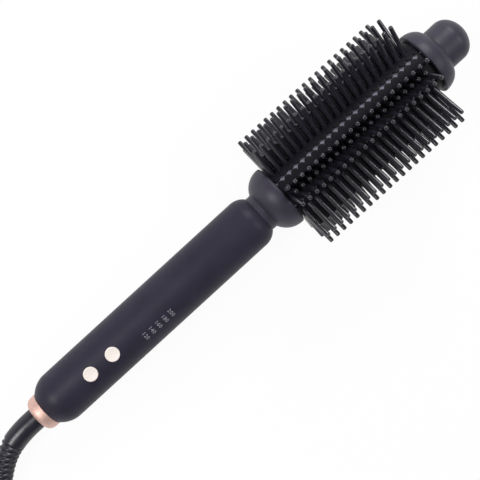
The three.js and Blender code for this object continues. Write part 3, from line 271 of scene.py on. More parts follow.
def pick(*pieces: Piece) -> None:
    """Leaves edit mode and selects pieces alone, with the first one active."""
    if bpy.context.object is not None and bpy.context.object.mode != "OBJECT":
        bpy.ops.object.mode_set(mode="OBJECT")
    bpy.ops.object.select_all(action="DESELECT")
    for piece in pieces:
        piece.select_set(True)
    bpy.context.view_layer.objects.active = pieces[0]


def added(name: str, scale: Sequence[float] = (1, 1, 1)) -> Piece:
    """Names the piece that was added last, and puts its place, turn and scale in its mesh."""
    piece = bpy.context.object
    piece.name = name
    piece.scale = scale
    bpy.ops.object.transform_apply(location=True, rotation=True, scale=True)
    return piece


def edit(piece: Piece, mode: str = "VERT") -> None:
    """Opens a piece in edit mode with all of it selected."""
    pick(piece)
    bpy.ops.object.mode_set(mode="EDIT")
    bpy.ops.mesh.select_mode(type=mode)
    bpy.ops.mesh.select_all(action="SELECT")


def close_edit() -> None:
    """Merges doubles, turns the faces outwards and leaves edit mode."""
    bpy.ops.mesh.select_all(action="SELECT")
    bpy.ops.mesh.remove_doubles(threshold=SEAM)
    bpy.ops.mesh.normals_make_consistent(inside=False)
    bpy.ops.object.mode_set(mode="OBJECT")


def apply(piece: Piece, kind: str, **settings: object) -> None:
    """Adds a modifier to a piece and applies it."""
    pick(piece)
    modifier = piece.modifiers.new(kind.lower(), kind)
    for name, value in settings.items():
        setattr(modifier, name, value)
    bpy.ops.object.modifier_apply(modifier=modifier.name)


def round_edges(piece: Piece, width: float, segments: int = 2, angle: float = 40.0) -> None:
    """Rounds a piece's sharp edges by a width in the units that it is modelled in."""
    apply(piece, "BEVEL", width=width, segments=segments, limit_method="ANGLE",
          angle_limit=math.radians(angle), harden_normals=False)


def cut(piece: Piece, cutter: Piece, operation: str = "DIFFERENCE") -> None:
    """Cuts a piece with another, or joins them, and removes the other."""
    apply(piece, "BOOLEAN", object=cutter, operation=operation, solver="EXACT")
    bpy.data.objects.remove(cutter)


def join(pieces: Sequence[Piece], name: str) -> Piece:
    """Joins pieces into the first one, under a new name."""
    pick(*pieces)
    bpy.ops.object.join()
    pieces[0].name = name
    return pieces[0]


def linked(name: str, data: bpy.types.ID) -> Piece:
    """Gives a new object of the scene with this data."""
    piece = bpy.data.objects.new(name, data)
    bpy.context.collection.objects.link(piece)
    return piece


def copy_of(piece: Piece, matrix: Matrix) -> Piece:
    """Copies a piece with a mesh of its own, moved by a matrix."""
    twin = piece.copy()
    twin.data = piece.data.copy()
    twin.data.transform(matrix)
    bpy.context.collection.objects.link(twin)
    return twin


def turned(
    name: str, profile: Sequence[Point], steps: int = 96, start: float = 0.0, sweep: float = FULL_TURN,
) -> Piece:
    """Spins a profile about the brush's axis.

    Args:
        name: Name of the piece.
        profile: Points of station and radius. It starts and ends on the axis, or closes.
        steps: Steps of the spin.
        start: Angle that the spin starts from. Zero is the side and a quarter turn the buttons.
        sweep: Angle of the spin. Less than a full turn leaves two ends, which are closed.

    Returns:
        The piece, in millimetres.
    """
    outwards = Vector((0, math.cos(start), math.sin(start)))
    points = [Vector((station, 0, 0)) + radius * outwards for station, radius in profile]
    bpy.ops.mesh.primitive_plane_add(size=SEAM, location=points[0])
    piece = added(name)
    edit(piece)
    bpy.ops.mesh.merge(type="CENTER")
    for before, after in zip(points, points[1:]):
        bpy.ops.mesh.extrude_vertices_move(TRANSFORM_OT_translate={"value": after - before})
    bpy.ops.mesh.select_all(action="SELECT")
    bpy.ops.mesh.spin(steps=steps, angle=sweep, center=(0, 0, 0), axis=(1, 0, 0))
    bpy.ops.mesh.select_all(action="SELECT")
    bpy.ops.mesh.remove_doubles(threshold=SEAM)
    if sweep < FULL_TURN:
        for angle in (start, start + sweep):
            cap(piece, Vector((0, -math.sin(angle), math.cos(angle))))
    close_edit()
    return piece


def cap(piece: Piece, normal: Vector) -> None:
    """Closes the loop of a piece in edit mode that lies in a plane through the axis, by its normal."""
    bpy.ops.mesh.select_all(action="DESELECT")
    bpy.ops.object.mode_set(mode="OBJECT")
    facing = Vector((0, normal.z, -normal.y))
    for vertex in piece.data.vertices:
        vertex.select = abs(vertex.co.dot(normal)) < PLANE_SLACK and vertex.co.dot(facing) > 0
    bpy.ops.object.mode_set(mode="EDIT")
    bpy.ops.mesh.edge_face_add()


def post(radius: float, station: float, bottom: float, top: float, sides: int = 48) -> Piece:
    """Makes a round post that stands along z on the brush's axis, between two heights."""
    middle = (station, 0, (bottom + top) / 2)
    bpy.ops.mesh.primitive_cylinder_add(vertices=sides, radius=radius, depth=top - bottom, location=middle)
    return added("post")


def upright(name: str, centre: Vector, width: float, height: float) -> Piece:
    """Makes a face that stands across x, with its width along y."""
    bpy.ops.mesh.primitive_plane_add(size=1, location=centre, rotation=(0, HALF_TURN / 2, 0))
    return added(name, (height, width, 1))


def woven(name: str, columns: int, rows: int, place: Callable[[int, int], Vector]) -> Piece:
    """Makes a sheet from a grid by giving its corner in each column and row a place."""
    bpy.ops.mesh.primitive_grid_add(x_subdivisions=columns, y_subdivisions=rows, size=2)
    piece = added(name)
    for vertex in piece.data.vertices:
        column = round((vertex.co.x + 1) / 2 * columns)
        row = round((vertex.co.y + 1) / 2 * rows)
        vertex.co = place(column, row)
    return piece


def hose(name: str, centres: Sequence[Vector], radius: Callable[[int, float], float], sides: int) -> Piece:
    """Makes a closed hose round a line.

    Args:
        name: Name of the piece.
        centres: Points of the line.
        radius: Gives the radius at a point's index and an angle round the line.
        sides: Sides of the hose.

    Returns:
        The piece.
    """
    rings = []
    side = Vector((0, 0, 1))
    for index in range(len(centres)):
        before = centres[max(index - 1, 0)]
        after = centres[min(index + 1, len(centres) - 1)]
        heading = (after - before).normalized()
        side = (side - heading * side.dot(heading)).normalized()
        rings.append((side.copy(), heading.cross(side)))

    def corner(column: int, row: int) -> Vector:
        """Gives a corner of the hose's skin."""
        angle = FULL_TURN * row / sides
        up, across = rings[column]
        way = up * math.cos(angle) + across * math.sin(angle)
        return centres[column] + way * radius(column, angle)

    piece = woven(name, len(centres) - 1, sides, corner)
    edit(piece)
    bpy.ops.mesh.remove_doubles(threshold=SEAM)
    bpy.ops.mesh.select_all(action="DESELECT")
    bpy.ops.mesh.select_non_manifold()
    bpy.ops.mesh.fill_holes(sides=0)
    close_edit()
    return piece


def settle(
    piece: Piece, slot: Slot, nodes: Iterable[str] = (), finish: Finish | None = None, angle: float = 35.0,
    matrix: Matrix = ON_BRUSH, body: Body = Body.BRUSH,
) -> None:
    """Shades a modelled piece, puts it in its place, dresses it and ties it to the frame.

    Args:
        piece: The piece.
        slot: The record's slot for its finish.
        nodes: The frame's nodes that it stands for.
        finish: Its finish, where that isn't its slot's. A piece that wears its own already keeps it.
        angle: Angle in degrees from which its edges stay sharp.
        matrix: From its own millimetres to the object's metres.
        body: The body that it moves with.
    """
    pick(piece)
    bpy.ops.object.shade_smooth_by_angle(angle=math.radians(angle))
    piece.data.transform(matrix)
    if not piece.data.materials:
        piece.data.materials.append((finish or FINISHES[slot]).material())
    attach(piece, body.value)
    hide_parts(*nodes)
    log.info("%s: %d faces", piece.name, len(piece.data.polygons))


def arc(station: float, radius: float, size: Point, angles: Point, steps: int) -> list[Point]:
    """Gives points of an arc of a profile.

    Args:
        station: Station of its centre.
        radius: Radius of its centre.
        size: Its half-width along the axis and its half-height.
        angles: Its first and last angle in degrees. Zero is its outermost point.
        steps: Its steps.

    Returns:
        The points of station and radius.
    """
    first, last = angles
    turns = [math.radians(first + (last - first) * i / steps) for i in range(steps + 1)]
    return [(station + size[0] * math.sin(t), radius + size[1] * math.cos(t)) for t in turns]


def line(first: float, last: float, step: float) -> list[float]:
    """Gives even stations from one to another, both kept, about a step apart."""
    count = max(1, round((last - first) / step))
    return [first + (last - first) * i / count for i in range(count + 1)]


@dataclass(frozen=True)
class Lamp:
    """A soft square lamp.

    Attributes:
        name: Its name.
        way: The way from the aim to it, as shares of the way back to the camera, right and up.
        reach: Its distance from the aim in metres.
        size: Its side in metres.
        power: Its power in watts.
    """

    name: str
    way: Triple
    reach: float
    size: float
    power: float


@dataclass
class Studio:
    """Camera, floor, lamps and world."""

    roll: float = math.radians(8.8)
    lean: float = math.radians(42.45)
    distance: float = 615.0
    view: float = math.radians(27.2)
    aim_station: float = 166.0
    aim_side: float = -3.65
    floor_radius: float = 3.0
    floor_sides: int = 64
    backdrop_height: float = 0.8
    floor_white: Colour = (240, 240, 241)
    camera_glow: float = 0.95
    world_light: float = 0.2
    world_white: Colour = (244, 246, 250)
    floor_drop: float = 0.0002
    sensor: float = 36.0
    clip: Point = (0.01, 20.0)
    lamps: tuple[Lamp, ...] = (
        Lamp("key", (0.9, -0.6, -0.25), 1.3, 0.45, 10.0),
        Lamp("top", (0.7, 0.1, 0.9), 1.3, 0.4, 9.5),
        Lamp("fill", (0.8, 0.9, 0.1), 1.4, 0.4, 5.0),
    )

    def axes(self) -> tuple[Vector, Vector, Vector]:
        """Gives the way back to the camera, the picture's right and its up."""
        back = SIDE * math.sin(self.roll) + FRONT * math.cos(self.roll)
        across = back.cross(ALONG)
        right = ALONG * math.cos(self.lean) - across * math.sin(self.lean)
        up = ALONG * math.sin(self.lean) + across * math.cos(self.lean)
        return back, right, up

    def aim(self) -> Vector:
        """Gives the point that the camera looks at, in metres."""
        across = self.axes()[0].cross(ALONG)
        return START + (ALONG * self.aim_station + across * self.aim_side) * MM

    def camera(self) -> None:
        """Makes the camera and makes it the scene's."""
        back, right, up = self.axes()
        data = bpy.data.cameras.new("camera")
        data.sensor_width = self.sensor
        data.lens = self.sensor / 2 / math.tan(self.view / 2)
        data.clip_start, data.clip_end = self.clip
        camera = linked("camera", data)
        turn = Matrix((right, up, back)).transposed().to_4x4()
        camera.matrix_world = Matrix.Translation(self.aim() + back * self.distance * MM) @ turn
        bpy.context.scene.camera = camera

    def light(self, lamp: Lamp) -> None:
        """Adds a lamp, turned to the aim."""
        data = bpy.data.lights.new(lamp.name, "AREA")
        data.shape = "SQUARE"
        data.size = lamp.size
        data.energy = lamp.power
        way = sum((axis * share for axis, share in zip(self.axes(), lamp.way)), Vector()).normalized()
        stand = linked(lamp.name, data)
        stand.location = self.aim() + way * lamp.reach
        stand.rotation_euler = way.to_track_quat("Z", "Y").to_euler()

    def world(self) -> None:
        """Lights the scene softly from all round."""
        world = bpy.data.worlds.new("studio")
        bpy.context.scene.world = world
        world.use_nodes = True
        tree = world.node_tree
        glow = {"Color": linear(self.world_white), "Strength": self.world_light}
        fill(tree, tree.nodes["Background"], glow)

    def floor(self) -> None:
        """Adds the pale floor and its low backdrop, nearly white to the camera but for the shadow."""
        bpy.ops.mesh.primitive_circle_add(
            vertices=self.floor_sides, radius=self.floor_radius, fill_type="NGON",
            location=(0, 0, -self.floor_drop),
        )
        floor = added("floor")
        edit(floor, "EDGE")
        bpy.ops.mesh.region_to_loop()
        bpy.ops.mesh.extrude_edges_move(TRANSFORM_OT_translate={"value": (0, 0, self.backdrop_height)})
        close_edit()
        material = bpy.data.materials.new("floor")
        material.use_nodes = True
        tree = material.node_tree
        tree.nodes.clear()
        path = tree.nodes.new("ShaderNodeLightPath")
        seen = path.outputs["Is Camera Ray"]
        for name in ("Is Glossy Ray", "Is Transmission Ray"):
            seen = node(tree, "Math", "Value", {0: seen, 1: path.outputs[name]}, operation="MAXIMUM")
        share = node(tree, "Math", "Value", {0: seen, 1: self.camera_glow}, operation="MULTIPLY")
        plain = node(tree, "BsdfDiffuse", "BSDF", {"Color": linear(self.floor_white)})
        glow = node(tree, "Emission", "Emission", {"Strength": 1.0})
        both = node(tree, "MixShader", "Shader", {"Fac": share, 1: plain, 2: glow})
        fill(tree, tree.nodes.new("ShaderNodeOutputMaterial"), {"Surface": both})
        floor.data.materials.append(material)

    def build(self) -> None:
        """Makes the camera, the floor, the lamps and the world."""
        bpy.context.scene.view_settings.view_transform = "Standard"
        self.camera()
        self.floor()
        for lamp in self.lamps:
            self.light(lamp)
        self.world()


def smooth_line(points: Sequence[Vector], step: float, parts: int = 24) -> list[Vector]:
    """Gives even points along a smooth curve through points, of the centripetal kind.

    Args:
        points: The points.
        step: About how far apart the even points are.
        parts: Parts that each stretch is measured in.

    Returns:
        The even points, the first and the last of the given ones among them.
    """
    ends = [2 * points[0] - points[1], *points, 2 * points[-1] - points[-2]]
    fine = []
    for corners in zip(ends, ends[1:], ends[2:], ends[3:]):
        fine += [spline_point(corners, i / parts) for i in range(parts)]
    fine.append(points[-1].copy())
    lengths = [0.0]
    for first, second in zip(fine, fine[1:]):
        lengths.append(lengths[-1] + (second - first).length)
    even = []
    index = 0
    for distance in line(0, lengths[-1], step):
        while index + 2 < len(fine) and lengths[index + 1] < distance:
            index += 1
        part = (distance - lengths[index]) / (lengths[index + 1] - lengths[index])
        even.append(fine[index].lerp(fine[index + 1], min(max(part, 0.0), 1.0)))
    return even


def spline_point(corners: tuple[Vector, Vector, Vector, Vector], part: float) -> Vector:
    """Gives the point that is a share of the way between the middle two of four corners of the curve."""
    knots = [0.0]
    for first, second in zip(corners, corners[1:]):
        knots.append(knots[-1] + max((second - first).length, SEAM) ** 0.5)
    at = knots[1] + (knots[2] - knots[1]) * part

    def between(first: Vector, second: Vector, low: float, high: float) -> Vector:
        """Gives the point between two for the knot value."""
        return first + (second - first) * ((at - low) / (high - low))

    low = [between(corners[i], corners[i + 1], knots[i], knots[i + 1]) for i in range(3)]
    middle = [between(low[i], low[i + 1], knots[i], knots[i + 2]) for i in range(2)]
    return between(middle[0], middle[1], knots[1], knots[2])


@dataclass
class Hank:
    """Folded stretch of the lead. It winds in on the floor and out again on top."""

    centre: Point = (-160.5, 1.0)
    run: float = 112.0
    inner: float = 21.0
    pitch: float = 8.1
    layer: float = 7.6
    draw_in: float = 12.0
    turns_in: float = 2.5
    turns_out: float = 2.0
    lift: float = 1.4
    run_share: float = 0.28
    steps: int = 36

    def turns(self) -> Point:
        """Gives the first and the last turn."""
        return -self.run_share / 2, self.turns_in + self.turns_out

    def reach(self, turn: float) -> float:
        """Gives how far the end loops stand from the middle line at a turn."""
        return self.inner + self.pitch * abs(self.turns_in - turn)

    def point(self, turn: float, exit_x: float, radius: float) -> Vector:
        """Gives the point at a turn, on the floor, from the ring's x and the cord's radius."""
        share = (turn + self.run_share / 2 + 1) % 1
        part = share - 0.5 if share >= 0.5 else share
        side = -1 if share >= 0.5 else 1
        reach = self.reach(turn)
        on_run = part < self.run_share
        step = part / self.run_share if on_run else (part - self.run_share) / (0.5 - self.run_share)
        waist = self.draw_in * (1 - math.cos(FULL_TURN * step)) / 2
        if on_run:
            along, across = self.run * (0.5 - step), -(reach - waist)
        else:
            along = -self.run / 2 - reach * math.sin(HALF_TURN * step)
            across = -reach * math.cos(HALF_TURN * step)
        rise = (turn - self.turns_in + self.run_share / 2) / self.run_share
        rise = min(max(rise, 0.0), 1.0)
        climb = rise * rise * (3 - 2 * rise)
        return Vector((exit_x + self.centre[0] + side * along, self.centre[1] + side * across,
                       radius + self.lift + self.layer * climb))

    def points(self, exit_x: float, radius: float) -> list[Vector]:
        """Gives the hank's points from its start to its end."""
        first, last = self.turns()
        count = round((last - first) * self.steps)
        return [self.point(first + (last - first) * i / count, exit_x, radius) for i in range(count + 1)]


@dataclass
class Lead:
    """Strain relief, cord with its hank and tie, and plug."""

    diameter: float = 7.0
    cord_step: float = 3.0
    cord_round: int = 6
    boot_radius: float = 7.25
    boot_end_radius: float = 5.6
    boot_start: float = 5.5
    boot_smooth: float = 21.8
    boot_length: float = 60.0
    boot_rim: float = 3.4
    boot_lip: float = 0.5
    boot_lip_reach: float = 0.8
    rib_pitch: float = 3.6
    rib_depth: float = 1.1
    rib_starts: int = 3
    rib_fade: float = 1.6
    rib_bite: float = 1.4
    boot_sides: int = 48
    boot_step: float = 0.4
    boot_sharp: float = 60.0
    hank: Hank = field(default_factory=Hank)
    tie_width: float = 14.0
    tie_thickness: float = 1.0
    tie_slack: float = 1.4
    tie_round: float = 4.0
    tie_edge: float = 0.25
    plug_sections: tuple[Triple, ...] = (
        (0.0, 14.0, 11.6), (7.0, 14.4, 12.4), (11.0, 18.6, 13.2), (15.0, 25.6, 13.8),
        (19.0, 31.4, 13.8), (24.0, 35.0, 13.8), (29.0, 35.0, 13.8), (32.0, 34.2, 13.2),
    )
    plug_round: float = 2.4
    pin_radius: float = 2.0
    pin_length: float = 19.0
    pin_spacing: float = 18.6
    pin_taper: float = 0.8
    gap: float = 0.3
    lead_route: tuple[Triple, ...] = (
        (-12, -0.2, 13), (-22, -1.8, 11.5), (-32, -6, 10), (-43.4, -14.6, 8.2), (-52.5, -24.6, 6.4),
        (-62.5, -33.8, 5.1), (-75, -39.6, 4.9), (-90, -41.1, 4.9),
    )
    tail_route: tuple[Triple, ...] = (
        (-146, 30.6, 12.5), (-137, 38.6, 10.6), (-126, 45, 8.1),
        (-112, 49.6, 7.1), (-105, 50, 7.1), (-100, 50, 7.1),
    )

    def exit(self) -> Vector:
        """Gives where the lead leaves the ring, in millimetres."""
        return START / MM

    def laid(self, point: Sequence[float]) -> Vector:
        """Gives a point of a route in millimetres on the floor."""
        exit_point = self.exit()
        return Vector((exit_point.x + point[0], exit_point.y + point[1], point[2]))

    def neck_route(self) -> list[Vector]:
        """Gives the points of the lead from inside the ring to the hank."""
        inside = self.exit() + ALONG * self.boot_start
        return [inside, self.exit(), *[self.laid(p) for p in self.lead_route]]

    def cord(self) -> None:
        """Lays the cord from the ring through the hank to the plug, as one smooth curve."""
        radius = self.diameter / 2
        hank = self.hank.points(self.exit().x, radius)
        straight = Vector((self.diameter, 0, 0))
        tail = [self.laid(p) for p in self.tail_route]
        points = [*self.neck_route()[1:], hank[0] + straight, *hank, hank[-1] + straight, *tail]
        laid = smooth_line(points, self.cord_step)
        data = bpy.data.curves.new("mains_cord_curve", "CURVE")
        data.dimensions = "3D"
        data.bevel_depth = radius * MM
        data.bevel_resolution = self.cord_round
        data.use_fill_caps = True
        spline = data.splines.new("POLY")
        spline.points.add(len(laid) - 1)
        for place, point in zip(spline.points, laid):
            place.co = (*(point * MM), 1)
        cord = linked("lead_cord", data)
        data.materials.append(FINISHES[Slot.CORD].material())
        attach(cord, Body.LEAD.value)
        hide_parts("mains_cord", "cord_hank", "cord_tail")

    def boot(self) -> None:
        """Makes the strain relief: smooth at first, then ribs that wind round it and taper."""
        count = round((self.boot_start + self.boot_length) / self.boot_step)
        centres = smooth_line(self.neck_route(), self.boot_step)[:count + 1]
        smooth_end = self.boot_start + self.boot_smooth
        rim_start = self.boot_start + self.boot_length - self.boot_rim

        def radius(index: int, angle: float) -> float:
            """Gives the boot's radius at a point and an angle."""
            distance = index * self.boot_step
            past = distance - smooth_end
            share = min(max(past / (self.boot_length - self.boot_smooth), 0.0), 1.0)
            outer = self.boot_radius + (self.boot_end_radius - self.boot_radius) * share
            lip = self.boot_lip * max(0.0, 1 - distance / self.boot_lip_reach) ** 2
            if past < 0 or distance > rim_start:
                return outer - lip
            turn = past / self.rib_pitch - self.rib_starts * angle / FULL_TURN
            wave = 0.5 + 0.5 * math.cos(FULL_TURN * turn)
            fade = min(1.0, past / self.rib_fade, (rim_start - distance) / self.rib_fade)
            return outer - self.rib_depth * fade * (1 - wave) ** self.rib_bite

        boot = hose("boot", centres, radius, self.boot_sides)
        settle(boot, Slot.CORD, ["cord_boot"], BOOT, self.boot_sharp, ON_FLOOR, Body.LEAD)

    def tie(self) -> None:
        """Makes the band round the hank's waist."""
        hank = self.hank
        slack = self.diameter / 2 + self.tie_slack - hank.draw_in
        reach = hank.reach(0) + slack
        other = hank.reach(hank.turns()[1]) + slack
        low = hank.lift - self.gap
        high = hank.lift + self.diameter + hank.layer + self.gap
        centre = Vector((self.exit().x + hank.centre[0] - self.tie_width / 2,
                         hank.centre[1] + (other - reach) / 2, (low + high) / 2))
        tie = upright("hank_tie", centre, reach + other, high - low)
        edit(tie)
        bpy.ops.mesh.delete(type="ONLY_FACE")
        bpy.ops.mesh.select_all(action="SELECT")
        bpy.ops.mesh.bevel(offset=self.tie_round - self.tie_thickness, segments=8, affect="VERTICES")
        bpy.ops.mesh.select_all(action="SELECT")
        bpy.ops.mesh.extrude_region_move(TRANSFORM_OT_translate={"value": (self.tie_width, 0, 0)})
        close_edit()
        apply(tie, "SOLIDIFY", thickness=self.tie_thickness, offset=1.0)
        round_edges(tie, self.tie_edge)
        settle(tie, Slot.NYLON, ["cord_tie"], TAPE, matrix=ON_FLOOR, body=Body.LEAD)

    def plug(self) -> None:
        """Makes the plug's body by drawing out a face, section by section."""
        end = self.laid(self.tail_route[-1]) + Vector((self.gap, 0, 0))
        start, width, height = self.plug_sections[0]
        plug = upright("plug", end, width, height)
        edit(plug, "FACE")
        for station, wide, high in self.plug_sections[1:]:
            bpy.ops.mesh.extrude_region_move(TRANSFORM_OT_translate={"value": (station - start, 0, 0)})
            bpy.ops.transform.resize(value=(1, wide / width, high / height),
                                     center_override=end + Vector((station, 0, 0)))
            start, width, height = station, wide, high
        close_edit()
        round_edges(plug, self.plug_round, segments=4, angle=30)
        settle(plug, Slot.CORD, ["plug_body"], angle=50, matrix=ON_FLOOR, body=Body.LEAD)
        self.pins(end + Vector((start + self.gap, 0, 0)))

    def pins(self, root: Vector) -> None:
        """Makes the plug's two pins with rounded ends."""
        tip = self.pin_radius * self.pin_taper
        profile = [(0, 0), (0, self.pin_radius),
                   *arc(self.pin_length - tip, 0, (tip, self.pin_radius), (0, 90), steps=8)]
        for name, solid, side in (("plug_pin_left", "plug_pin_1", -1), ("plug_pin_right", "plug_pin_2", 1)):
            place = ON_FLOOR @ Matrix.Translation(root + Vector((0, side * self.pin_spacing / 2, 0)))
            settle(turned(name, profile, steps=32), Slot.STEEL, [solid], matrix=place, body=Body.LEAD)

    def build(self) -> None:
        """Makes the boot, the tie, the plug and the cord."""
        self.boot()
        self.tie()
        self.plug()
        self.cord()


@dataclass
class Handle:
    """Soft-touch handle in two shells, with its ring."""

    radius: float = 17.0
    end: float = 185.3
    wall: float = 2.4
    ring_length: float = 7.6
    ring_radius: float = 11.8
    ring_round: float = 3.2
    ring_taper: float = 4.6
    ring_wall: float = 1.6
    ring_edge: float = 0.35
    bore_bevel: float = 0.3
    seat: float = 0.3
    split: float = 0.06
    overcut: float = 1.0
    fine_end: float = 112.0
    fine_step: float = 2.0
    plain_step: float = 8.0
    shoulder: float = 9.1
    shoulder_round: float = 12.0
    tail_wall_end: float = 14.0
    tail_cavity: float = 12.0
    cavity_end: float = 173.0
    spigot_bore: float = 11.2
    boot_bore: float = 7.55
    boot_bore_end: float = 5.65
    rotor_bore: float = 6.3
    button_stations: Point = (44.9, 62.7)
    button_hole: float = 4.9
    window_first: float = 84.8
    window_pitch: float = 5.2
    window_count: int = 5
    window_hole: float = 0.9
    screw_stations: Point = (74.8, 160.0)
    screw_boss: float = 4.9
    screw_hole: float = 3.3
    screw_pilot: float = 1.8
    screw_seat: float = -8.0

    def start(self) -> float:
        """Gives the station where the handle's dome starts."""
        return self.ring_length + self.seat

    def dome_centre(self) -> float:
        """Gives the station of the dome's centre."""
        return self.start() + math.sqrt(self.radius**2 - self.ring_radius**2)

    def windows(self) -> list[float]:
        """Gives the stations of the indicator windows."""
        return [self.window_first + self.window_pitch * i for i in range(self.window_count)]

    def profile(self) -> list[Point]:
        """Gives the shells' closed profile, fine where the buttons and windows are cut."""
        centre = self.dome_centre()
        first = math.degrees(math.asin((self.start() - centre) / self.radius))
        last = math.degrees(math.asin(self.shoulder / self.shoulder_round))
        cavity = self.radius - self.wall
        shoulder_start = self.end - self.shoulder
        outer = [*line(centre, self.fine_end, self.fine_step)[1:],
                 *line(self.fine_end, shoulder_start, self.plain_step)[1:-1]]
        spigot = self.ring_radius - self.ring_wall - self.seat
        tail = self.ring_wall + self.seat
        return [
            (tail, self.boot_bore), (tail, spigot), (self.start(), spigot),
            *arc(centre, 0, (self.radius, self.radius), (first, 0), steps=14),
            *[(station, self.radius) for station in outer],
            *arc(shoulder_start, self.radius - self.shoulder_round,
                 (self.shoulder_round, self.shoulder_round), (0, last), steps=12),
            (self.end, self.spigot_bore), (self.cavity_end, self.spigot_bore),
            (self.cavity_end, cavity), (centre, cavity), (self.tail_wall_end, self.tail_cavity),
            (self.tail_wall_end, self.rotor_bore), (self.boot_bore_end, self.rotor_bore),
            (self.boot_bore_end, self.boot_bore), (tail, self.boot_bore),
        ]

    def half(self, name: str, start: float) -> Piece:
        """Makes one shell from an angle through half a turn, less the split."""
        trim = self.split / self.radius
        return turned(name, self.profile(), 72, start + trim, HALF_TURN - 2 * trim)

    def top(self) -> None:
        """Makes the upper shell with its button holes and windows."""
        shell = self.half("handle_top", 0.0)
        reach = self.radius + 2 * self.overcut
        for station in self.button_stations:
            cut(shell, post(self.button_hole, station, reach / 2, reach, sides=72))
        for station in self.windows():
            cut(shell, post(self.window_hole, station, reach / 2, reach, sides=24))
        settle(shell, Slot.SOFT_TOUCH, ["handle_top_shell"], angle=30)

    def bottom(self) -> None:
        """Makes the lower shell with its screw bosses and their holes."""
        shell = self.half("handle_bottom", HALF_TURN)
        inside = -self.radius + self.wall / 2
        for station in self.screw_stations:
            cut(shell, post(self.screw_boss, station, inside, -self.split), "UNION")
            cut(shell, post(self.screw_hole, station, -self.radius - self.overcut, self.screw_seat))
            cut(shell, post(self.screw_pilot, station, self.screw_seat - self.overcut, self.overcut))
        settle(shell, Slot.SOFT_TOUCH, ["handle_bottom_shell"], angle=30)

    def ring(self) -> None:
        """Makes the rose gold ring with its rounded lower edge."""
        edge = self.ring_edge
        bevel = self.bore_bevel
        inner = self.ring_radius - self.ring_wall
        length = self.ring_length
        profile = [
            (bevel, self.boot_bore), (0, self.boot_bore + bevel),
            *arc(self.ring_taper, self.ring_radius - self.ring_round,
                 (self.ring_taper, self.ring_round), (-90, 0), steps=16),
            *arc(length - edge, self.ring_radius - edge, (edge, edge), (0, 90), steps=5),
            (length, inner), (self.ring_wall, inner), (self.ring_wall, self.boot_bore),
            (bevel, self.boot_bore),
        ]
        settle(turned("ring", profile, steps=128), Slot.ROSE_GOLD, ["end_ring"])

    def build(self) -> None:
        """Makes the shells and the ring."""
        self.top()
        self.bottom()
        self.ring()


@dataclass
class Buttons:
    """The two push buttons."""

    radius: float = 4.6
    top: float = 17.7
    edge: float = 0.55
    dish: float = 0.12
    dish_lip: Point = (0.02, 0.25)
    dish_edge: float = 0.6
    stem: tuple[Point, ...] = ((11.2, 0), (11.2, 2.0), (12.1, 2.0), (12.1, 5.8), (13.1, 5.8))

    def button(self, name: str, solid: str, station: float, body: Body) -> None:
        """Makes a button at a station, which stands for a solid and moves with a body."""
        rim = self.radius - self.edge
        profile = [
            *self.stem, (self.stem[-1][0], self.radius),
            *arc(self.top - self.edge, rim, (self.edge, self.edge), (0, 90), steps=7),
            (self.top - self.dish_lip[0], rim - self.dish_lip[1]),
            (self.top - self.dish, rim - self.dish_edge), (self.top - self.dish, 0),
        ]
        place = ON_BRUSH @ Matrix.Translation((station, 0, 0)) @ STAND
        settle(turned(name, profile, steps=72), Slot.BUTTON, [solid], angle=40, matrix=place, body=body)

    def build(self, stations: Point) -> None:
        """Makes both buttons."""
        self.button("button_power", "power_button", stations[0], Body.POWER_KEY)
        self.button("button_heat", "heat_button", stations[1], Body.HEAT_KEY)


@dataclass
class Indicators:
    """Light bar behind the windows, and the plain numbers beside them."""

    pipe_radius: float = 0.82
    pipe_top: float = 16.92
    bar_top: float = 14.08
    bar_height: float = 2.4
    bar_width: float = 5.0
    bar_margin: float = 2.0
    bar_round: float = 0.4
    pipe_round: float = 0.2
    pipe_bottom: float = 7.2
    numbers: tuple[str, ...] = ("120", "140", "160", "180", "200")
    text_size: float = 3.6
    text_space: float = 1.12
    text_curve: int = 4
    text_start: float = math.radians(9.7)
    print_height: float = 0.03

    def bar(self, windows: Sequence[float]) -> None:
        """Makes the light bar with a pipe to each window."""
        middle = ((windows[0] + windows[-1]) / 2, 0, self.bar_top - self.bar_height / 2)
        length = windows[-1] - windows[0] + 2 * self.bar_margin
        bpy.ops.mesh.primitive_cube_add(size=1, location=middle)
        bar = added("light_bar", (length, self.bar_width, self.bar_height))
        round_edges(bar, self.bar_round, segments=3)
        for station in windows:
            pipe = post(self.pipe_radius, station, self.pipe_bottom, self.pipe_top, sides=32)
            round_edges(pipe, self.pipe_round, segments=3)
            cut(bar, pipe, "UNION")
        settle(bar, Slot.CLEAR, ["indicator_light_bar"])

    def number(self, text: str, station: float, radius: float) -> Piece:
        """Prints a number round a handle of a radius, beside its window at a station, in millimetres."""
        bpy.ops.object.text_add(location=(0, 0, 0))
        label = bpy.context.object
        label.data.body = text
        label.data.size = self.text_size
        label.data.align_y = "CENTER"
        label.data.resolution_u = self.text_curve
        label.data.space_character = self.text_space
        bpy.ops.object.convert(target="MESH")
        label = bpy.context.object
        apply(label, "SOLIDIFY", thickness=self.print_height, offset=0.0)
        for vertex in label.data.vertices:
            across, along, up = vertex.co
            angle = self.text_start + across / radius
            height = radius + self.print_height / 2 + up
            vertex.co = (station + along, -height * math.sin(angle), height * math.cos(angle))
        return label

    def build(self, windows: Sequence[float], radius: float) -> None:
        """Makes the light bar and the numbers."""
        self.bar(windows)
        labels = [self.number(t, s, radius) for t, s in zip(self.numbers, windows)]
        settle(join(labels, "numbers"), Slot.SOFT_TOUCH, finish=INK, angle=0)


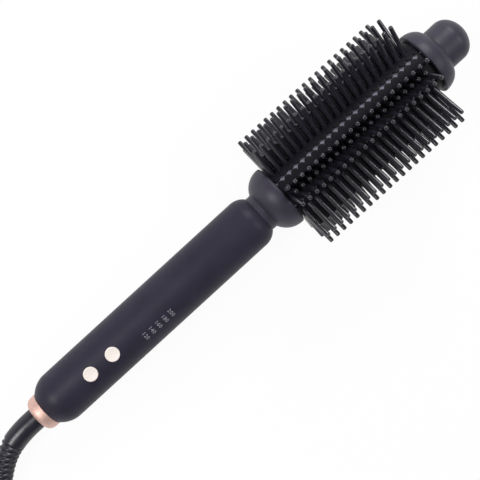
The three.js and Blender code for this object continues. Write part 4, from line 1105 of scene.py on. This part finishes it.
@dataclass
class Head:
    """Collar, barrel, scalloped bristle combs and cool tip."""

    spigot: tuple[Point, ...] = ((169.7, 8.5), (169.7, 13.0), (172.7, 13.0), (172.7, 10.9), (185.35, 10.9))
    neck: float = 12.6
    neck_fillet: float = 1.2
    bulb: float = 21.3
    bulb_station: float = 202.3
    bulb_arc: float = 14.8
    collar_end: float = 204.3
    collar_edge: float = 1.6
    collar_turn: float = 20.0
    collar_bore: float = 17.6
    collar_bore_start: float = 192.5
    barrel: float = 17.3
    barrel_wall: float = 1.5
    barrel_start: float = 195.5
    barrel_step: float = 12.0
    tip_start: float = 322.7
    seat: float = 0.3
    comb_inner: float = 17.8
    comb_outer: float = 18.75
    row: float = math.radians(8.8)
    strip: float = math.radians(60)
    pin_first: float = 207.2
    pin_pitch: float = 5.42
    pin_count: int = 21
    pin_base: float = 1.75
    pin_tip: float = 1.4
    pin_cap: float = 0.85
    flare: float = 0.35
    flare_foot: Point = (0.15, 0.3)
    flare_end: float = 0.7
    pin_long: float = 43.5
    pin_short: float = 32.5
    pin_sides: int = 12
    pin_root: float = 18.2
    lobe_centre: float = 6.6
    lobe_reach: float = 2.9
    lobe_steps: int = 10
    end_corner: Point = (0.3, 1.0)
    plate_edge: float = 0.22
    strip_rows: int = 14
    comb_count: int = 3
    tip_flange: float = 21.8
    tip_lip: float = 0.4
    tip_flange_length: float = 11.2
    tip_fillet: float = 1.4
    tip_sink: float = 0.2
    tip: float = 14.2
    tip_round_start: float = 345.0
    tip_round: float = 10.8
    tip_face: float = 5.0
    tip_inside: tuple[Point, ...] = ((334.3, 0), (334.3, 2.3), (324.4, 2.3), (324.4, 17.6), (322.7, 17.6))
    tip_turn: float = 78.0
    tip_fillet_turn: Point = (-95.0, -180.0)
    tip_step: float = 3.0

    def collar(self) -> None:
        """Makes the collar with its neck and its bulb."""
        centre = self.bulb - self.bulb_arc
        fillet = self.neck_fillet
        rise = self.neck + fillet - centre
        reach = self.bulb_arc + fillet
        foot = self.bulb_station - math.sqrt(reach**2 - rise**2)
        first = -math.degrees(math.acos(rise / reach))
        edge = self.collar_edge
        profile = [
            *self.spigot, (self.spigot[-1][0], self.neck),
            *arc(foot, self.neck + fillet, (fillet, fillet), (180, 180 + first), steps=8),
            *arc(self.bulb_station, centre, (self.bulb_arc,) * 2, (first, 0), steps=28)[1:],
            *arc(self.collar_end - edge, self.bulb - edge, (edge, edge), (self.collar_turn, 90), steps=8),
            (self.collar_end, self.collar_bore), (self.collar_bore_start, self.collar_bore),
            (self.collar_bore_start, self.spigot[0][1]), self.spigot[0],
        ]
        # Painted light: the collar wears the lighter soft-touch copy, which brightens its highlight.
        settle(turned("collar", profile, steps=128), Slot.SOFT_TOUCH, ["neck_collar"], HEAD_TOUCH_PAINTED_LIGHT)

    def tube(self) -> None:
        """Makes the barrel."""
        inner = self.barrel - self.barrel_wall
        end = self.tip_start - self.seat
        outside = [(s, self.barrel) for s in line(self.barrel_start, end, self.barrel_step)]
        profile = [(self.barrel_start, inner), *outside, (end, inner), (self.barrel_start, inner)]
        settle(turned("barrel", profile), Slot.BARREL, ["barrel_tube"])

    def outline(self) -> list[Point]:
        """Gives a strip's stations and its half-width at each, as a row of round lobes."""
        first = self.collar_end + self.seat
        last = self.tip_start - self.seat
        radius = self.pin_pitch / 2
        points = []
        for index in range(self.pin_count + 1):
            centre = self.pin_first + self.pin_pitch * index
            for step in range(self.lobe_steps + 1):
                turn = HALF_TURN * (step / self.lobe_steps - 0.5)
                station = centre + radius * math.sin(turn)
                wide = self.lobe_centre + self.lobe_reach * math.cos(turn)
                on_band = index == self.pin_count and turn > 0
                if station > first and not on_band and not (points and station - points[-1][0] < SEAM):
                    points.append((station, wide))
        turn = math.asin((self.pin_first - first) / radius)
        start = (first, self.lobe_centre + self.lobe_reach * math.cos(turn))
        full = self.lobe_centre + self.lobe_reach
        near, far = self.end_corner
        return [start, *points, (last - far, full), (last - near, full - near), (last, full - far)]

    def plate(self) -> Piece:
        """Makes one strip's scalloped backing, curved round the barrel on the buttons' side."""
        outline = self.outline()

        def place(column: int, row: int) -> Vector:
            """Gives a corner of the strip."""
            station, wide = outline[column]
            angle = wide * (2 * row / self.strip_rows - 1) / self.comb_outer
            return Vector((station, self.comb_outer * math.sin(angle), self.comb_outer * math.cos(angle)))

        plate = woven("plate", len(outline) - 1, self.strip_rows, place)
        # Painted shade: the backing plate wears the darker nylon copy for the dark between the pins.
        plate.data.materials.append(BACKING_PAINTED_SHADE.material())
        edit(plate)
        close_edit()
        if plate.data.polygons[0].normal.z < 0:
            plate.data.flip_normals()
        apply(plate, "SOLIDIFY", thickness=self.comb_outer - self.comb_inner, offset=-1.0)
        round_edges(plate, self.plate_edge, angle=50)
        return plate

    def pin(self, name: str, reach: float) -> Piece:
        """Makes a pin with a flared root and a rounded end, which stands along x at the axis."""
        base, tip, cap = self.pin_root, self.pin_tip, self.pin_cap
        profile = [
            (base, 0), (base, self.pin_base + self.flare),
            (self.comb_outer + self.flare_foot[0], self.pin_base + self.flare_foot[1]),
            (self.comb_outer + self.flare_end, self.pin_base), (reach - cap, tip),
            *arc(reach - cap, 0, (cap, tip), (0, 90), steps=5)[1:],
        ]
        pin = turned(name, profile, self.pin_sides)
        pin.data.materials.append(FINISHES[Slot.NYLON].material())
        return pin

    def strip_with_pins(self) -> Piece:
        """Makes one strip with its three rows of pins."""
        long_pin = self.pin("long_pin", self.pin_long)
        short_pin = self.pin("short_pin", self.pin_short)
        pieces = [self.plate()]
        for index in range(self.pin_count):
            station = self.pin_first + self.pin_pitch * index
            for side in (-1, 1):
                turn = Matrix.Rotation(side * self.row, 4, "X")
                pieces.append(copy_of(long_pin, Matrix.Translation((station, 0, 0)) @ turn @ STAND))
            if index + 1 < self.pin_count:
                shift = Matrix.Translation((station + self.pin_pitch / 2, 0, 0))
                pieces.append(copy_of(short_pin, shift @ STAND))
        bpy.data.objects.remove(long_pin)
        bpy.data.objects.remove(short_pin)
        return join(pieces, "strip")

    def combs(self) -> None:
        """Makes the combs, of two strips each."""
        strip = self.strip_with_pins()
        for index in range(self.comb_count):
            halves = [copy_of(strip, Matrix.Rotation(self.strip * (2 * index + k), 4, "X")) for k in range(2)]
            comb = join(halves, f"comb_{index + 1}")
            settle(comb, Slot.NYLON, [f"bristle_comb_{index + 1}"], angle=42)
        bpy.data.objects.remove(strip)

    def cool_tip(self) -> None:
        """Makes the cool tip: flange, shoulder, grip and its small flat face."""
        lip = self.tip_lip
        shoulder = self.tip_start + lip
        foot = shoulder + self.tip_flange_length
        fillet = self.tip_fillet
        share = self.tip_face / self.tip
        last = 90 - math.degrees(math.asin(share))
        end = self.tip_round_start + self.tip_round * math.sqrt(1 - share**2)
        profile = [
            self.tip_inside[-1], (self.tip_start, self.tip_flange - lip),
            *arc(shoulder, self.tip, (foot - shoulder, self.tip_flange - self.tip), (0, self.tip_turn),
                 steps=26),
            *arc(foot + fillet - self.tip_sink, self.tip + fillet, (fillet, fillet), self.tip_fillet_turn,
                 steps=6),
            *[(s, self.tip) for s in line(foot + fillet, self.tip_round_start, self.tip_step)[1:-1]],
            *arc(self.tip_round_start, 0, (self.tip_round, self.tip), (0, last), steps=28),
            (end, 0), *self.tip_inside,
        ]
        # Painted light: the cool tip wears the lighter soft-touch copy, which brightens its highlights.
        settle(turned("tip", profile, steps=128), Slot.SOFT_TOUCH, ["cool_tip"], HEAD_TOUCH_PAINTED_LIGHT)

    def build(self) -> None:
        """Makes the collar, the barrel, the combs and the cool tip."""
        self.collar()
        self.tube()
        self.combs()
        self.cool_tip()


def dress_nodes() -> None:
    """Gives every node of the frame the finish of its slot."""
    slots = {row["node"]: Slot(row["material_slot"]) for row in frame["record"]["subparts"]}
    for name, solid in frame["nodes"].items():
        solid.data.materials.clear()
        solid.data.materials.append(FINISHES[slots[name]].material())


def main() -> None:
    """Builds the studio, the lead and the brush in order."""
    logging.basicConfig(level=logging.INFO, format="%(message)s")
    Studio().build()
    log.info("studio done")
    Lead().build()
    log.info("lead done")
    handle = Handle()
    handle.build()
    Buttons().build(handle.button_stations)
    Indicators().build(handle.windows(), handle.radius)
    log.info("handle done")
    Head().build()
    log.info("head done")
    dress_nodes()


if __name__ == "__main__":
    main()
